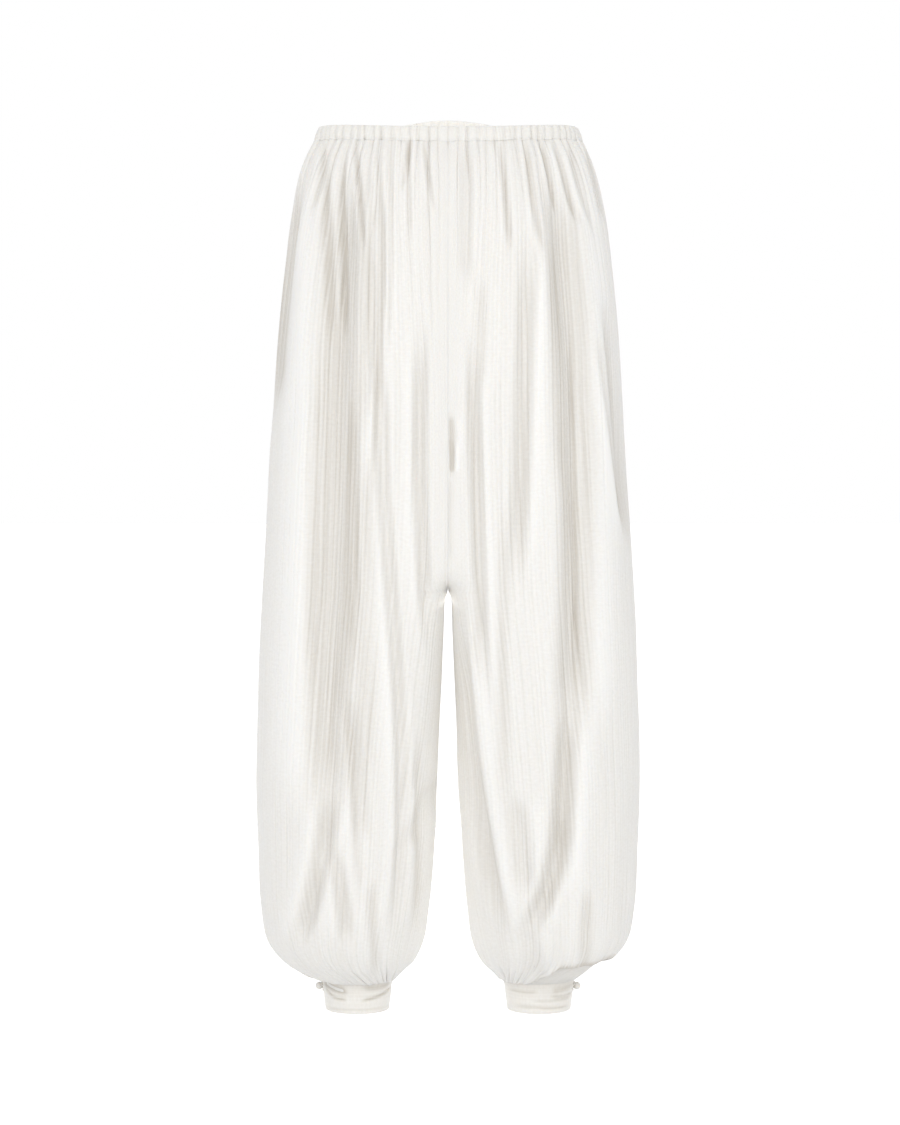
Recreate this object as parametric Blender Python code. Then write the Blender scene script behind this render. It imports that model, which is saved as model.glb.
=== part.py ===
"""Balloon trousers of finely pleated ivory silk, in the shape they have when worn.

Metres, +Z up. The front faces -Y, and left and right are the wearer's, so the left leg is at +X.
The origin is the middle of the waist opening, level with the waistband's top edge at the sides.

Each leg is cut as a front and a back panel, gathered into an elastic waistband above and into a
buttoned cuff below. A panel is a wall of cloth on a grid. Its rows follow SECTIONS, and it has
two columns for each gather, one on its ridge and one in its trough.
"""

import math
from collections import namedtuple

import bmesh
import bpy
import numpy as np

# Cloth and seams
LEG_CLOTH = 0.0018
BAND_CLOTH = 0.0030
CUFF_CLOTH = 0.0026
SEAM_GAP = 0.0003

# The grid of one panel
GATHERS_PER_PANEL = 19
COLUMNS = 2 * GATHERS_PER_PANEL
LONGEST_ROW = 0.081

# Gathers
GATHER_SEED = 7
GATHER_UNEVENNESS = 0.28
FULL_GATHER_PITCH = 0.0026
WAIST_GATHER_HEIGHT = 0.0021
WAIST_GATHER_SHORTEST = 0.030
WAIST_GATHER_LONGEST = 0.150
WAIST_GATHERS_END = -0.330
CUFF_GATHER_HEIGHT = 0.0016
CUFF_GATHER_LENGTH = 0.026
CUFF_SEAM_FLATTENS = 0.4

# Waistband: its top edge is drawn in a little, and it is tilted, low in front and high behind
BAND_HEIGHT = 0.0160
BAND_TOP_SCALE = 0.960
BAND_BULGE = 0.0009
FRONT_DIP = 0.0095
BACK_RISE = 0.0195
TILT_FADES_BY = 0.260

# Cuffs, their ball buttons and the loops that hold them. The leg blouses over a cuff's top edge.
CUFF_X = 0.1022
CUFF_TOP_Z = -0.9495
CUFF_HEIGHT = 0.0382
CUFF_TOP_RADIUS = 0.0400
CUFF_BOTTOM_RADIUS = 0.0354
CUFF_SLIT = 0.0012
CUFF_SEGMENTS = 32
BUTTON_RADIUS = 0.0044
BUTTON_DROP = 0.0130
BUTTON_BEHIND_SLIT = 0.0030
LOOP_RADIUS = 0.0008
LOOP_START = -0.0085
LOOP_START_SPREAD = 0.0022

# The side seam ends in a slit above each cuff, and the front panel is drawn back from it
SLIT_LENGTH = 0.075
SLIT_OPENING = {1: 0.021, -1: 0.006}

# How the centre seams curve from the waist down and under to the crotch
CROTCH_Z = -0.5150
CROTCH_RISE = 0.499
FRONT_CURVE = 30.0
BACK_CURVE = 14.0
CURVE_ROUNDNESS = 2.2
MOST_SHARE = 0.9995

# The inner side of a leg has fewer gathers: the share of them up to each share of the cloth
GATHERS_AT = (0.0, 0.84, 0.90, 0.95, 1.0)
CLOTH_AT = (0.0, 0.685, 0.745, 0.855, 1.0)

# Above the crotch a panel is narrower than below it, and the gathers past this share of its width
# run together towards the centre seam. The others keep their distance from the side seam.
CROWDED_FROM = 0.66
EVEN_CROWD = 0.30
GAP_SLOPE = 0.0745
CROWDING_FADE = 2.2

# The plain shape of one leg. outer and inner are its edges in the front view, lobe is where it is
# deepest, and front and back are its depths there. outer_square and inner_square are how square
# the outline is: 2 is an ellipse.
Section = namedtuple("Section", "z outer lobe inner front back outer_square inner_square")
SECTIONS = [
    Section(-0.0160, 0.1480, 0.0002, 0.00015, 0.1000, 0.1040, 2.00, 2.0),
    Section(-0.0400, 0.1597, 0.0120, 0.00015, 0.1080, 0.1140, 2.02, 2.0),
    Section(-0.0900, 0.1730, 0.0350, 0.00015, 0.1160, 0.1280, 2.06, 2.2),
    Section(-0.1600, 0.1824, 0.0560, 0.00015, 0.1210, 0.1380, 2.12, 3.0),
    Section(-0.2400, 0.1905, 0.0740, 0.00015, 0.1230, 0.1410, 2.18, 4.2),
    Section(-0.3100, 0.1952, 0.0860, 0.00015, 0.1220, 0.1370, 2.20, 5.6),
    Section(-0.3850, 0.1997, 0.0945, 0.00015, 0.1188, 0.1300, 2.20, 6.2),
    Section(-0.4550, 0.2043, 0.1003, 0.00015, 0.1160, 0.1238, 2.20, 6.4),
    Section(-0.4900, 0.2065, 0.1026, 0.00015, 0.1147, 0.1212, 2.20, 6.3),
    Section(-0.5060, 0.2075, 0.1035, 0.00015, 0.1142, 0.1201, 2.19, 6.2),
    Section(CROTCH_Z, 0.2080, 0.1040, 0.00060, 0.1139, 0.1195, 2.19, 6.1),
    Section(-0.5240, 0.2085, 0.1045, 0.00370, 0.1136, 0.1190, 2.18, 5.9),
    Section(-0.5600, 0.2103, 0.1062, 0.00540, 0.1126, 0.1170, 2.17, 5.2),
    Section(-0.6250, 0.2126, 0.1088, 0.00820, 0.1112, 0.1143, 2.14, 4.2),
    Section(-0.7300, 0.2150, 0.1128, 0.01260, 0.1110, 0.1130, 2.10, 2.9),
    Section(-0.8100, 0.2130, 0.1139, 0.01620, 0.1102, 0.1122, 2.08, 2.5),
    Section(-0.8750, 0.2090, 0.1148, 0.02180, 0.1055, 0.1075, 2.06, 2.2),
    Section(-0.9100, 0.2020, 0.1140, 0.02720, 0.0950, 0.0970, 2.04, 2.0),
    Section(-0.9310, 0.1850, 0.1110, 0.03720, 0.0790, 0.0800, 2.02, 2.0),
    Section(-0.9400, 0.1695, 0.1080, 0.04700, 0.0660, 0.0660, 2.00, 2.0),
    Section(-0.9505, 0.1500, 0.1034, 0.05750, 0.0490, 0.0490, 2.00, 2.0),
    Section(-0.9535, 0.1452, 0.1022, 0.05920, 0.0430, 0.0430, 2.00, 2.0),
]

# The long soft folds of each panel: a valley from top to bottom, with its distance from the
# centre line at its top, a third and two thirds of the way down, and at its bottom.
Fold = namedtuple("Fold", "top bottom x_top x_upper x_lower x_bottom depth half_width")
FOLDS = {
    "front_right_leg": [
        Fold(-0.028, -0.815, 0.115, 0.124, 0.137, 0.130, 0.0155, 0.0165),
        Fold(-0.725, -0.935, 0.131, 0.136, 0.156, 0.183, 0.0120, 0.0100),
        Fold(-0.765, -0.905, 0.126, 0.123, 0.113, 0.114, 0.0070, 0.0080),
        Fold(-0.620, -0.800, 0.107, 0.102, 0.096, 0.094, 0.0060, 0.0080),
        Fold(-0.039, -0.400, 0.094, 0.078, 0.086, 0.092, 0.0065, 0.0100),
        Fold(-0.220, -0.910, 0.068, 0.066, 0.051, 0.063, 0.0110, 0.0095),
        Fold(-0.200, -0.590, 0.027, 0.030, 0.028, 0.018, 0.0080, 0.0080),
        Fold(-0.715, -0.800, 0.011, 0.022, 0.034, 0.044, 0.0055, 0.0070),
        Fold(-0.050, -0.330, 0.158, 0.174, 0.182, 0.189, 0.0050, 0.0100),
    ],
    "front_left_leg": [
        Fold(-0.039, -0.700, 0.109, 0.136, 0.137, 0.131, 0.0175, 0.0150),
        Fold(-0.625, -0.910, 0.133, 0.127, 0.115, 0.071, 0.0130, 0.0100),
        Fold(-0.750, -0.880, 0.127, 0.128, 0.129, 0.130, 0.0055, 0.0080),
        Fold(-0.100, -0.450, 0.092, 0.082, 0.078, 0.074, 0.0065, 0.0110),
        Fold(-0.017, -0.190, 0.017, 0.019, 0.018, 0.022, 0.0035, 0.0065),
        Fold(-0.200, -0.650, 0.025, 0.029, 0.034, 0.040, 0.0095, 0.0090),
        Fold(-0.540, -0.910, 0.012, 0.021, 0.039, 0.064, 0.0105, 0.0090),
        Fold(-0.730, -0.850, 0.072, 0.076, 0.081, 0.083, 0.0055, 0.0100),
        Fold(-0.880, -0.945, 0.090, 0.091, 0.093, 0.094, 0.0040, 0.0090),
        Fold(-0.180, -0.450, 0.170, 0.181, 0.190, 0.197, 0.0050, 0.0090),
    ],
    "back_right_leg": [
        Fold(-0.020, -0.560, 0.110, 0.124, 0.132, 0.138, 0.0145, 0.0155),
        Fold(-0.500, -0.930, 0.140, 0.134, 0.128, 0.160, 0.0100, 0.0120),
        Fold(-0.040, -0.420, 0.078, 0.088, 0.094, 0.100, 0.0065, 0.0105),
        Fold(-0.240, -0.880, 0.050, 0.056, 0.066, 0.074, 0.0090, 0.0100),
        Fold(-0.200, -0.560, 0.022, 0.026, 0.030, 0.024, 0.0070, 0.0085),
        Fold(-0.700, -0.915, 0.034, 0.046, 0.056, 0.064, 0.0065, 0.0085),
        Fold(-0.120, -0.480, 0.162, 0.176, 0.186, 0.192, 0.0050, 0.0100),
    ],
    "back_left_leg": [
        Fold(-0.020, -0.620, 0.116, 0.112, 0.122, 0.134, 0.0150, 0.0155),
        Fold(-0.560, -0.925, 0.134, 0.138, 0.128, 0.104, 0.0100, 0.0110),
        Fold(-0.060, -0.380, 0.084, 0.076, 0.082, 0.088, 0.0060, 0.0105),
        Fold(-0.280, -0.840, 0.060, 0.052, 0.048, 0.056, 0.0090, 0.0095),
        Fold(-0.210, -0.600, 0.026, 0.030, 0.024, 0.020, 0.0075, 0.0085),
        Fold(-0.760, -0.930, 0.150, 0.156, 0.164, 0.172, 0.0060, 0.0090),
        Fold(-0.140, -0.520, 0.166, 0.172, 0.184, 0.194, 0.0050, 0.0100),
    ],
}
FOLD_END_FADE = 0.16
FOLD_FREE_OF_CENTRE = 0.016
FOLD_FREE_OF_SIDE = 0.022

# Colours as base colour and roughness; no piece is metal
PLEATED_SILK = ((0.86, 0.85, 0.81, 1.0), 0.55)
SATIN = ((0.84, 0.82, 0.77, 1.0), 0.38)


def clear_scene():
    for obj in list(bpy.data.objects):
        bpy.data.objects.remove(obj)


def cloth_material(name, finish):
    colour, roughness = finish
    material = bpy.data.materials.new(name)
    material.use_nodes = True
    shader = material.node_tree.nodes["Principled BSDF"]
    shader.inputs["Base Color"].default_value = colour
    shader.inputs["Roughness"].default_value = roughness
    shader.inputs["Metallic"].default_value = 0.0
    return material


def add_object(name, points, faces, material):
    """One named mesh object, smooth but for its sharp edges."""
    mesh = bpy.data.meshes.new(name)
    mesh.from_pydata([tuple(map(float, p)) for p in points], [], faces)
    mesh.shade_smooth()
    mesh.set_sharp_from_angle(angle=math.radians(50))
    mesh.materials.append(material)
    obj = bpy.data.objects.new(name, mesh)
    bpy.context.scene.collection.objects.link(obj)
    return obj


def smooth_step(value):
    """0 below 0, 1 above 1, and a soft curve between."""
    value = np.clip(value, 0.0, 1.0)
    return value * value * (3.0 - 2.0 * value)


def run_of(steps):
    """Distances from the start of a line, from the lengths of its steps."""
    return np.concatenate([[0.0], np.cumsum(steps)])


def smooth_curve(known, values, wanted):
    """A smooth curve through known values that never swings past them."""
    step = np.diff(known)
    slope = np.diff(values) / step
    mean = (slope[:-1] + slope[1:]) / 2.0
    most = 3.0 * np.minimum(np.abs(slope[:-1]), np.abs(slope[1:]))
    same_way = slope[:-1] * slope[1:] > 0.0
    inner = np.where(same_way, np.sign(mean) * np.minimum(np.abs(mean), most), 0.0)
    tangent = np.concatenate([slope[:1], inner, slope[-1:]])
    i = np.clip(np.searchsorted(known, wanted, side="right") - 1, 0, len(step) - 1)
    t = (wanted - known[i]) / step[i]
    start = (1.0 + 2.0 * t) * (1.0 - t) ** 2 * values[i]
    end = t * t * (3.0 - 2.0 * t) * values[i + 1]
    bend = t * (1.0 - t) * step[i] * ((1.0 - t) * tangent[i] - t * tangent[i + 1])
    return start + end + bend


def panel_rows(longest):
    """The sections of a leg's rows: those of the table, and more where they lie far apart."""
    table = np.array(SECTIONS)
    length = run_of(np.hypot(np.diff(table[:, 0]), np.diff(table[:, 1])))
    wanted = []
    for start, end in zip(length, length[1:]):
        wanted += list(np.linspace(start, end, math.ceil((end - start) / longest) + 1)[:-1])
    wanted = np.array(wanted + [length[-1]])
    columns = [smooth_curve(length, table[:, i], wanted) for i in range(table.shape[1])]
    return [Section(*values) for values in zip(*columns)], wanted


def gather_columns():
    """Where the gathers' ridges and troughs lie, from 0 at the side seam to 1 at the centre."""
    even = np.arange(COLUMNS + 1) / COLUMNS
    wander = np.random.default_rng(GATHER_SEED).uniform(-1.0, 1.0, COLUMNS + 1)
    wander[[0, -1]] = 0.0
    return even + wander * GATHER_UNEVENNESS / COLUMNS


def seam_share(z, curve):
    """The centre seam's depth over the leg's: 1 at the waist, 0 from the crotch down."""
    height = np.clip((z - CROTCH_Z) / CROTCH_RISE, 0.0, 1.0)
    return (1.0 - (1.0 - height) ** curve) ** (1.0 / CURVE_ROUNDNESS)


def half_outline(section, depth, share):
    """A panel's outline at one height, from the side seam to the centre seam."""
    end = math.pi - math.asin(min(share, MOST_SHARE) ** (section.inner_square / 2.0))
    angle = np.linspace(0.0, end, 600)
    outside = angle <= math.pi / 2.0
    power = 2.0 / np.where(outside, section.outer_square, section.inner_square)
    across = np.abs(np.cos(angle)) ** power
    reach = max(abs(math.cos(end)) ** (2.0 / section.inner_square), 1e-6)
    to_outer = (section.outer - section.lobe) * across
    to_inner = (section.lobe - section.inner) * across / reach
    x = section.lobe + np.where(outside, to_outer, -to_inner)
    y = depth * np.abs(np.sin(angle)) ** power
    return x, y, run_of(np.hypot(np.diff(x), np.diff(y)))


def along_panel(at_waist, width, closed_width, z):
    """Distances from the side seam, in a panel that is narrower above the crotch."""
    height = np.clip((z - CROTCH_Z) / CROTCH_RISE, 0.0, 1.0)
    below = 1.0 - height**CROWDING_FADE
    place = at_waist + (np.interp(at_waist, GATHERS_AT, CLOTH_AT) - at_waist) * below
    spread = width + (closed_width - width) * below
    rest = width - CROWDED_FROM * spread
    squeeze = (1.0 - CROWDED_FROM) * spread / rest
    share = np.clip((place - CROWDED_FROM) / (1.0 - CROWDED_FROM), 0.0, 1.0)
    crowded = EVEN_CROWD * share + (1.0 - EVEN_CROWD) * (1.0 - (1.0 - share) ** squeeze)
    return np.where(place < CROWDED_FROM, place * spread, CROWDED_FROM * spread + rest * crowded)


def plain_outline(section, depth, share):
    """A panel's outline at one height with no folds: its x and y at each column."""
    x, y, length = half_outline(section, depth, share)
    joined = section._replace(inner=min(section.inner, GAP_SLOPE * max(CROTCH_Z - section.z, 0.0)))
    closed_width = half_outline(joined, depth, 0.0)[2][-1]
    wanted = along_panel(gather_columns(), length[-1], closed_width, section.z)
    return np.interp(wanted, length, x), np.interp(wanted, length, y)


def waist_tilt(y, section):
    """How far the waist seam dips in front and rises behind."""
    dip = FRONT_DIP * np.clip(-y / section.front, 0.0, 1.0) ** 2
    rise = BACK_RISE * np.clip(y / section.back, 0.0, 1.0) ** 6
    return (rise - dip) * smooth_step(1.0 + section.z / TILT_FADES_BY)


def plain_leg(sections):
    """The left leg with no folds, as a grid of points [row, column].

    Columns run from the front centre, over the side seam in the middle, to the back centre.
    """
    rows = []
    for section in sections:
        front_share = seam_share(section.z, FRONT_CURVE)
        back_share = seam_share(section.z, BACK_CURVE)
        x_front, y_front = plain_outline(section, section.front, front_share)
        x_back, y_back = plain_outline(section, section.back, back_share)
        x = np.concatenate([x_front[::-1], x_back[1:]])
        y = np.concatenate([-y_front[::-1], y_back[1:]])
        z = section.z + waist_tilt(y, section)
        rows.append(np.stack([x, y, z], axis=1))
    return np.array(rows)


def outward(down, around):
    """Unit normals from the two directions of a surface, level along its top and bottom edge."""
    normal = np.cross(down, around)
    normal[[0, -1], :, 2] = 0.0
    return normal / np.linalg.norm(normal, axis=2, keepdims=True)


def leg_normals(grid, sections):
    """Outward normals of a plain leg, which the panels on both sides of a seam share."""
    mirror = np.array([-1.0, 1.0, 1.0])
    closed = np.array([section.z <= CROTCH_Z for section in sections])[:, None]
    before = np.where(closed, grid[:, -2], grid[:, 1] * mirror)[:, None]
    after = np.where(closed, grid[:, 1], grid[:, -2] * mirror)[:, None]
    padded = np.concatenate([before, grid, after], axis=1)
    return outward(np.gradient(grid, axis=0), padded[:, 2:] - padded[:, :-2])


def fold_centre(fold, share):
    """The fold's distance from the centre line, a cubic through its four places."""
    places = (fold.x_top, fold.x_upper, fold.x_lower, fold.x_bottom)
    knots = (0.0, 1.0 / 3.0, 2.0 / 3.0, 1.0)
    centre = 0.0
    for place, knot in zip(places, knots):
        weight = 1.0
        for other in knots:
            if other != knot:
                weight = weight * (share - other) / (knot - other)
        centre = centre + place * weight
    return centre


def drawn_in(panel, grid):
    """How far the folds of a panel draw its cloth in: a valley with a low ridge on each side."""
    x, y, z = np.moveaxis(grid, 2, 0)
    depth = np.zeros_like(x)
    for fold in FOLDS[panel]:
        share = (fold.top - z) / (fold.top - fold.bottom)
        fade = smooth_step(share / FOLD_END_FADE) * smooth_step((1.0 - share) / FOLD_END_FADE)
        off_centre = (x - fold_centre(fold, np.clip(share, 0.0, 1.0))) / fold.half_width
        valley = (1.0 - 0.6 * off_centre**2) * np.exp(-(off_centre**2) / 2.2)
        depth = depth + fold.depth * fade * valley
    free_of_centre = smooth_step((x - 0.002) / FOLD_FREE_OF_CENTRE)
    return depth * free_of_centre * smooth_step(np.abs(y) / FOLD_FREE_OF_SIDE)


def gather_relief(side, sections):
    """How far each point of a leg stands out on a gather's ridge or in its trough."""
    rng = np.random.default_rng(GATHER_SEED + side)
    columns = 2 * COLUMNS + 1
    sign = np.where(np.arange(columns) % 2 == 0, -1.0, 1.0)
    height = rng.uniform(0.65, 1.25, columns)
    length = rng.uniform(WAIST_GATHER_SHORTEST, WAIST_GATHER_LONGEST, columns)
    seams = [0, COLUMNS, columns - 1]
    height[seams] = 1.0
    length[seams] = WAIST_GATHER_SHORTEST
    z = np.array([section.z for section in sections])[:, None]
    waist = np.exp((z - sections[0].z) / length) * smooth_step((z - WAIST_GATHERS_END) / 0.2)
    cuff = np.exp((sections[-1].z - z) / CUFF_GATHER_LENGTH)
    cuff[-1] *= CUFF_SEAM_FLATTENS
    return sign * height * (WAIST_GATHER_HEIGHT * waist + CUFF_GATHER_HEIGHT * cuff)


def gather_room(grid):
    """How much of its height a gather keeps where the cloth runs together."""
    pitch = np.linalg.norm(np.diff(grid, axis=1), axis=2)
    pitch = np.minimum(np.pad(pitch, ((0, 0), (1, 0)), "edge"), np.pad(pitch, ((0, 0), (0, 1)), "edge"))
    return np.clip(pitch / FULL_GATHER_PITCH, 0.0, 1.0)


def slit_opening(side, length):
    """How far the front panel is drawn back from the side seam in each row."""
    share = 1.0 - (length[-1] - length) / SLIT_LENGTH
    return SLIT_OPENING[side] * smooth_step(share * 1.35)


def slide_from_side(values, grid, opening):
    """Values on a front panel's grid, taken at its columns once they are drawn back."""
    moved = np.empty_like(values)
    for row, points in enumerate(grid):
        length = run_of(np.linalg.norm(np.diff(points, axis=0), axis=1))
        wanted = length * (1.0 - opening[row] / length[-1])
        for axis in range(3):
            moved[row, :, axis] = np.interp(wanted, length, values[row, :, axis])
    return moved


def panel_walls(name, side, plain, normal, relief):
    """The outer and inner points of one panel."""
    outer = plain + normal * (relief - drawn_in(name, plain))[:, :, None]
    facing = outward(np.gradient(outer, axis=0), np.gradient(outer, axis=1))
    facing[:, [0, -1]] = normal[:, [0, -1]]
    inner = outer - facing * LEG_CLOTH
    for wall in (outer, inner):
        wall[:, :, 0] *= side
    return outer, inner


def leave_seam_gap(outer, inner, column, step):
    """Draws a panel's edge back from its seam by half the gap."""
    along = outer[:, column + step] - outer[:, column]
    along /= np.linalg.norm(along, axis=1, keepdims=True)
    for wall in (outer, inner):
        wall[:, column] += along * SEAM_GAP / 2.0


def wall_faces(rows, columns, flipped, closed=False):
    """Faces of a closed wall between an outer and an inner grid of points."""
    count = rows * columns

    def outer(row, column):
        return row * columns + column % columns

    def inner(row, column):
        return count + outer(row, column)

    faces = []
    last = columns if closed else columns - 1
    for row in range(rows - 1):
        for column in range(last):
            corners = [
                (row, column),
                (row + 1, column),
                (row + 1, column + 1),
                (row, column + 1),
            ]
            faces.append([outer(*corner) for corner in corners])
            faces.append([inner(*corner) for corner in reversed(corners)])
    edges = [((0, c), (0, c + 1)) for c in range(last)]
    edges += [((rows - 1, c + 1), (rows - 1, c)) for c in range(last)]
    if not closed:
        edges += [((r, last), (r + 1, last)) for r in range(rows - 1)]
        edges += [((r + 1, 0), (r, 0)) for r in range(rows - 1)]
    for here, there in edges:
        faces.append([outer(*here), outer(*there), inner(*there), inner(*here)])
    return [face[::-1] for face in faces] if flipped else faces


def add_wall(name, outer, inner, material, flipped, closed=False):
    points = np.concatenate([outer.reshape(-1, 3), inner.reshape(-1, 3)])
    faces = wall_faces(outer.shape[0], outer.shape[1], flipped, closed)
    return add_object(name, points, faces, material)


def build_leg(side, material):
    """The front and back panel of one leg. Returns its waist edge, front centre to back centre."""
    word = "left" if side > 0 else "right"
    sections, length = panel_rows(LONGEST_ROW)
    plain = plain_leg(sections)
    normal = leg_normals(plain, sections)
    relief = gather_relief(side, sections) * gather_room(plain)
    opening = slit_opening(side, length)
    front = slice(0, COLUMNS + 1)
    back = slice(COLUMNS, None)
    front_plain = slide_from_side(plain[:, front], plain[:, front], opening)
    front_normal = slide_from_side(normal[:, front], plain[:, front], opening)
    panels = (
        ("front", front_plain, front_normal, relief[:, front], -1, -1),
        ("back", plain[:, back], normal[:, back], relief[:, back], 0, 1),
    )
    waist = []
    for half, grid, normals, gathers, side_column, step in panels:
        name = f"{half}_{word}_leg"
        outer, inner = panel_walls(name, side, grid, normals, gathers)
        waist.append(outer[0].copy())
        leave_seam_gap(outer, inner, side_column, step)
        closed = np.array([section.z <= CROTCH_Z for section in sections])
        centre_column = 0 if half == "front" else COLUMNS
        centre_gap = np.where(closed, SEAM_GAP / 2.0, 0.0)
        along = -1.0 if half == "front" else 1.0
        for wall in (outer, inner):
            wall[:, centre_column, 1] += along * centre_gap
            wall[0, :, 2] -= SEAM_GAP / 2.0
            wall[-1, :, 2] += SEAM_GAP / 2.0
        add_wall(name, outer, inner, material, flipped=side < 0)
    return np.concatenate([waist[0], waist[1][1:]])


def build_waistband(left_edge, right_edge, material):
    """A gathered ring that stands on the panels' waist edge, on the same ridges and troughs."""
    seam = np.concatenate([left_edge, right_edge[-2:0:-1]])
    level = seam * np.array([1.0, 1.0, 0.0])
    around = np.roll(level, -1, axis=0) - np.roll(level, 1, axis=0)
    normal = np.cross(np.array([0.0, 0.0, -1.0]), around)
    normal /= np.linalg.norm(normal, axis=1, keepdims=True)
    smooth = (seam + (np.roll(seam, 1, axis=0) + np.roll(seam, -1, axis=0)) / 2.0) / 2.0
    outer = []
    for share in (1.0, 0.5, 0.0):
        scale = 1.0 + (BAND_TOP_SCALE - 1.0) * share
        ring = seam * (1.0 - 0.5 * share) + smooth * (0.5 * share)
        ring = ring * np.array([scale, scale, 1.0])
        ring = ring + normal * BAND_BULGE * math.sin(math.pi * share)
        ring[:, 2] = seam[:, 2] + SEAM_GAP / 2.0 + (BAND_HEIGHT - SEAM_GAP / 2.0) * share
        outer.append(ring)
    outer = np.array(outer)
    inner = outer - normal[None] * BAND_CLOTH
    add_wall("waistband", outer, inner, material, flipped=False, closed=True)


def cuff_radius(z):
    share = (CUFF_TOP_Z - z) / CUFF_HEIGHT
    return CUFF_TOP_RADIUS + (CUFF_BOTTOM_RADIUS - CUFF_TOP_RADIUS) * share


def on_cuff(side, along, z, lift):
    """A point a way along the cuff, forwards to back from its slit, and lifted off its surface."""
    angle = along / cuff_radius(z)
    reach = cuff_radius(z) + lift
    return side * (CUFF_X + reach * math.cos(angle)), reach * math.sin(angle), z


def build_cuff(side, material):
    word = "left" if side > 0 else "right"
    half_slit = CUFF_SLIT / 2.0 / CUFF_TOP_RADIUS
    angles = np.linspace(half_slit, 2.0 * math.pi - half_slit, CUFF_SEGMENTS + 1)
    walls = []
    for lift in (0.0, -CUFF_CLOTH):
        rows = []
        for share in (0.0, 0.5, 1.0):
            z = CUFF_TOP_Z - CUFF_HEIGHT * share
            radius = cuff_radius(z)
            rows.append([on_cuff(side, angle * radius, z, lift) for angle in angles])
        walls.append(np.array(rows))
    add_wall(f"cuff_{word}", walls[0], walls[1], material, flipped=side < 0)


def build_button(side, material):
    word = "left" if side > 0 else "right"
    z = CUFF_TOP_Z - BUTTON_DROP
    name = f"button_{word}"
    mesh = bpy.data.meshes.new(name)
    ball = bmesh.new()
    bmesh.ops.create_uvsphere(ball, u_segments=14, v_segments=9, radius=BUTTON_RADIUS)
    ball.to_mesh(mesh)
    ball.free()
    mesh.shade_smooth()
    mesh.materials.append(material)
    obj = bpy.data.objects.new(name, mesh)
    obj.location = on_cuff(side, BUTTON_BEHIND_SLIT, z, BUTTON_RADIUS + SEAM_GAP)
    bpy.context.scene.collection.objects.link(obj)


def build_loop(side, material):
    """A thin tube from the cuff's front end over the slit and round behind the button."""
    word = "left" if side > 0 else "right"
    z = CUFF_TOP_Z - BUTTON_DROP
    lift = LOOP_RADIUS + SEAM_GAP
    turn = BUTTON_RADIUS + LOOP_RADIUS * 0.5
    places = [(LOOP_START, LOOP_START_SPREAD), (LOOP_START * 0.4, turn * 0.80)]
    for step in range(9):
        angle = math.radians(100.0 - 25.0 * step)
        places.append((BUTTON_BEHIND_SLIT + turn * math.cos(angle), turn * math.sin(angle)))
    places += [(along, -spread) for along, spread in reversed(places[:2])]
    curve = bpy.data.curves.new(f"loop_{word}", "CURVE")
    curve.dimensions = "3D"
    curve.bevel_depth = LOOP_RADIUS
    curve.bevel_resolution = 1
    curve.use_fill_caps = True
    line = curve.splines.new("POLY")
    line.points.add(len(places) - 1)
    for point, (along, spread) in zip(line.points, places):
        point.co = (*on_cuff(side, along, z + spread, lift), 1.0)
    curve.materials.append(material)
    obj = bpy.data.objects.new(f"loop_{word}", curve)
    bpy.context.scene.collection.objects.link(obj)


def main():
    clear_scene()
    pleated = cloth_material("pleated_silk", PLEATED_SILK)
    band = cloth_material("waistband_silk", PLEATED_SILK)
    cuff = cloth_material("cuff_satin", SATIN)
    trim = cloth_material("button_satin", SATIN)
    waist_edges = [build_leg(side, pleated) for side in (1, -1)]
    build_waistband(*waist_edges, band)
    for side in (1, -1):
        build_cuff(side, cuff)
        build_button(side, trim)
        build_loop(side, trim)


main()
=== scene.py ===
# %% [markdown]
# # Balloon trousers of finely pleated ivory silk
# The legs of these trousers are wide. They are gathered into an elastic waistband above and into
# satin cuffs below, and they blouse over the cuffs. The silk is plisse, so narrow pleats are
# pressed into it that run down the whole leg. A cloth simulation could drape such legs, but it
# needs a body inside, loses the pressed pleats and puts the folds where it likes. Here each panel
# is a grid of points worked out from short tables, so a fold lies where the maker wants it.

import math
from collections import namedtuple

import bpy
import numpy as np
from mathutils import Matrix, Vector


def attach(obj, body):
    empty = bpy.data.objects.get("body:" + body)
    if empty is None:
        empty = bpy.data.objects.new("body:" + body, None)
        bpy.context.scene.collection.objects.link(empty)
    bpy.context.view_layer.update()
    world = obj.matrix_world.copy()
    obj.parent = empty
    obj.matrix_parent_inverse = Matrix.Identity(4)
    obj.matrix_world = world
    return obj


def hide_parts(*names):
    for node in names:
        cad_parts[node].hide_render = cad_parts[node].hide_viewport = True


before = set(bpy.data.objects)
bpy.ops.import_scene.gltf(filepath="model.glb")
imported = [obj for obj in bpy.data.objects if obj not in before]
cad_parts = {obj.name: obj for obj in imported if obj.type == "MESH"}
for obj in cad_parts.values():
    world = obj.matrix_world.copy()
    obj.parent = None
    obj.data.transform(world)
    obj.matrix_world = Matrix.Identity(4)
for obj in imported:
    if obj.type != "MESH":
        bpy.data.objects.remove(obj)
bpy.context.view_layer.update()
print("parts in the frame:", ", ".join(sorted(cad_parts)))

# %% [markdown]
# ## The camera
# The photograph was taken from far away and straight in front, at about the height of the hips:
# the back of the waist just shows over the front, and the cuffs are seen a little from above. A
# long lens about three metres away gives that view. One pixel of the picture is 1.12 mm at the
# trousers.

# %% Camera
PICTURE_HEIGHT = 1125
PIXEL = 0.00112
CAMERA_DISTANCE = 3.2
CAMERA_HEIGHT = -0.370
PICTURE_MIDDLE = Vector((0.0022, 0.0, -0.4850))
SENSOR = 36.0


def add_object(name, data):
    obj = bpy.data.objects.new(name, data)
    bpy.context.scene.collection.objects.link(obj)
    return obj


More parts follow.
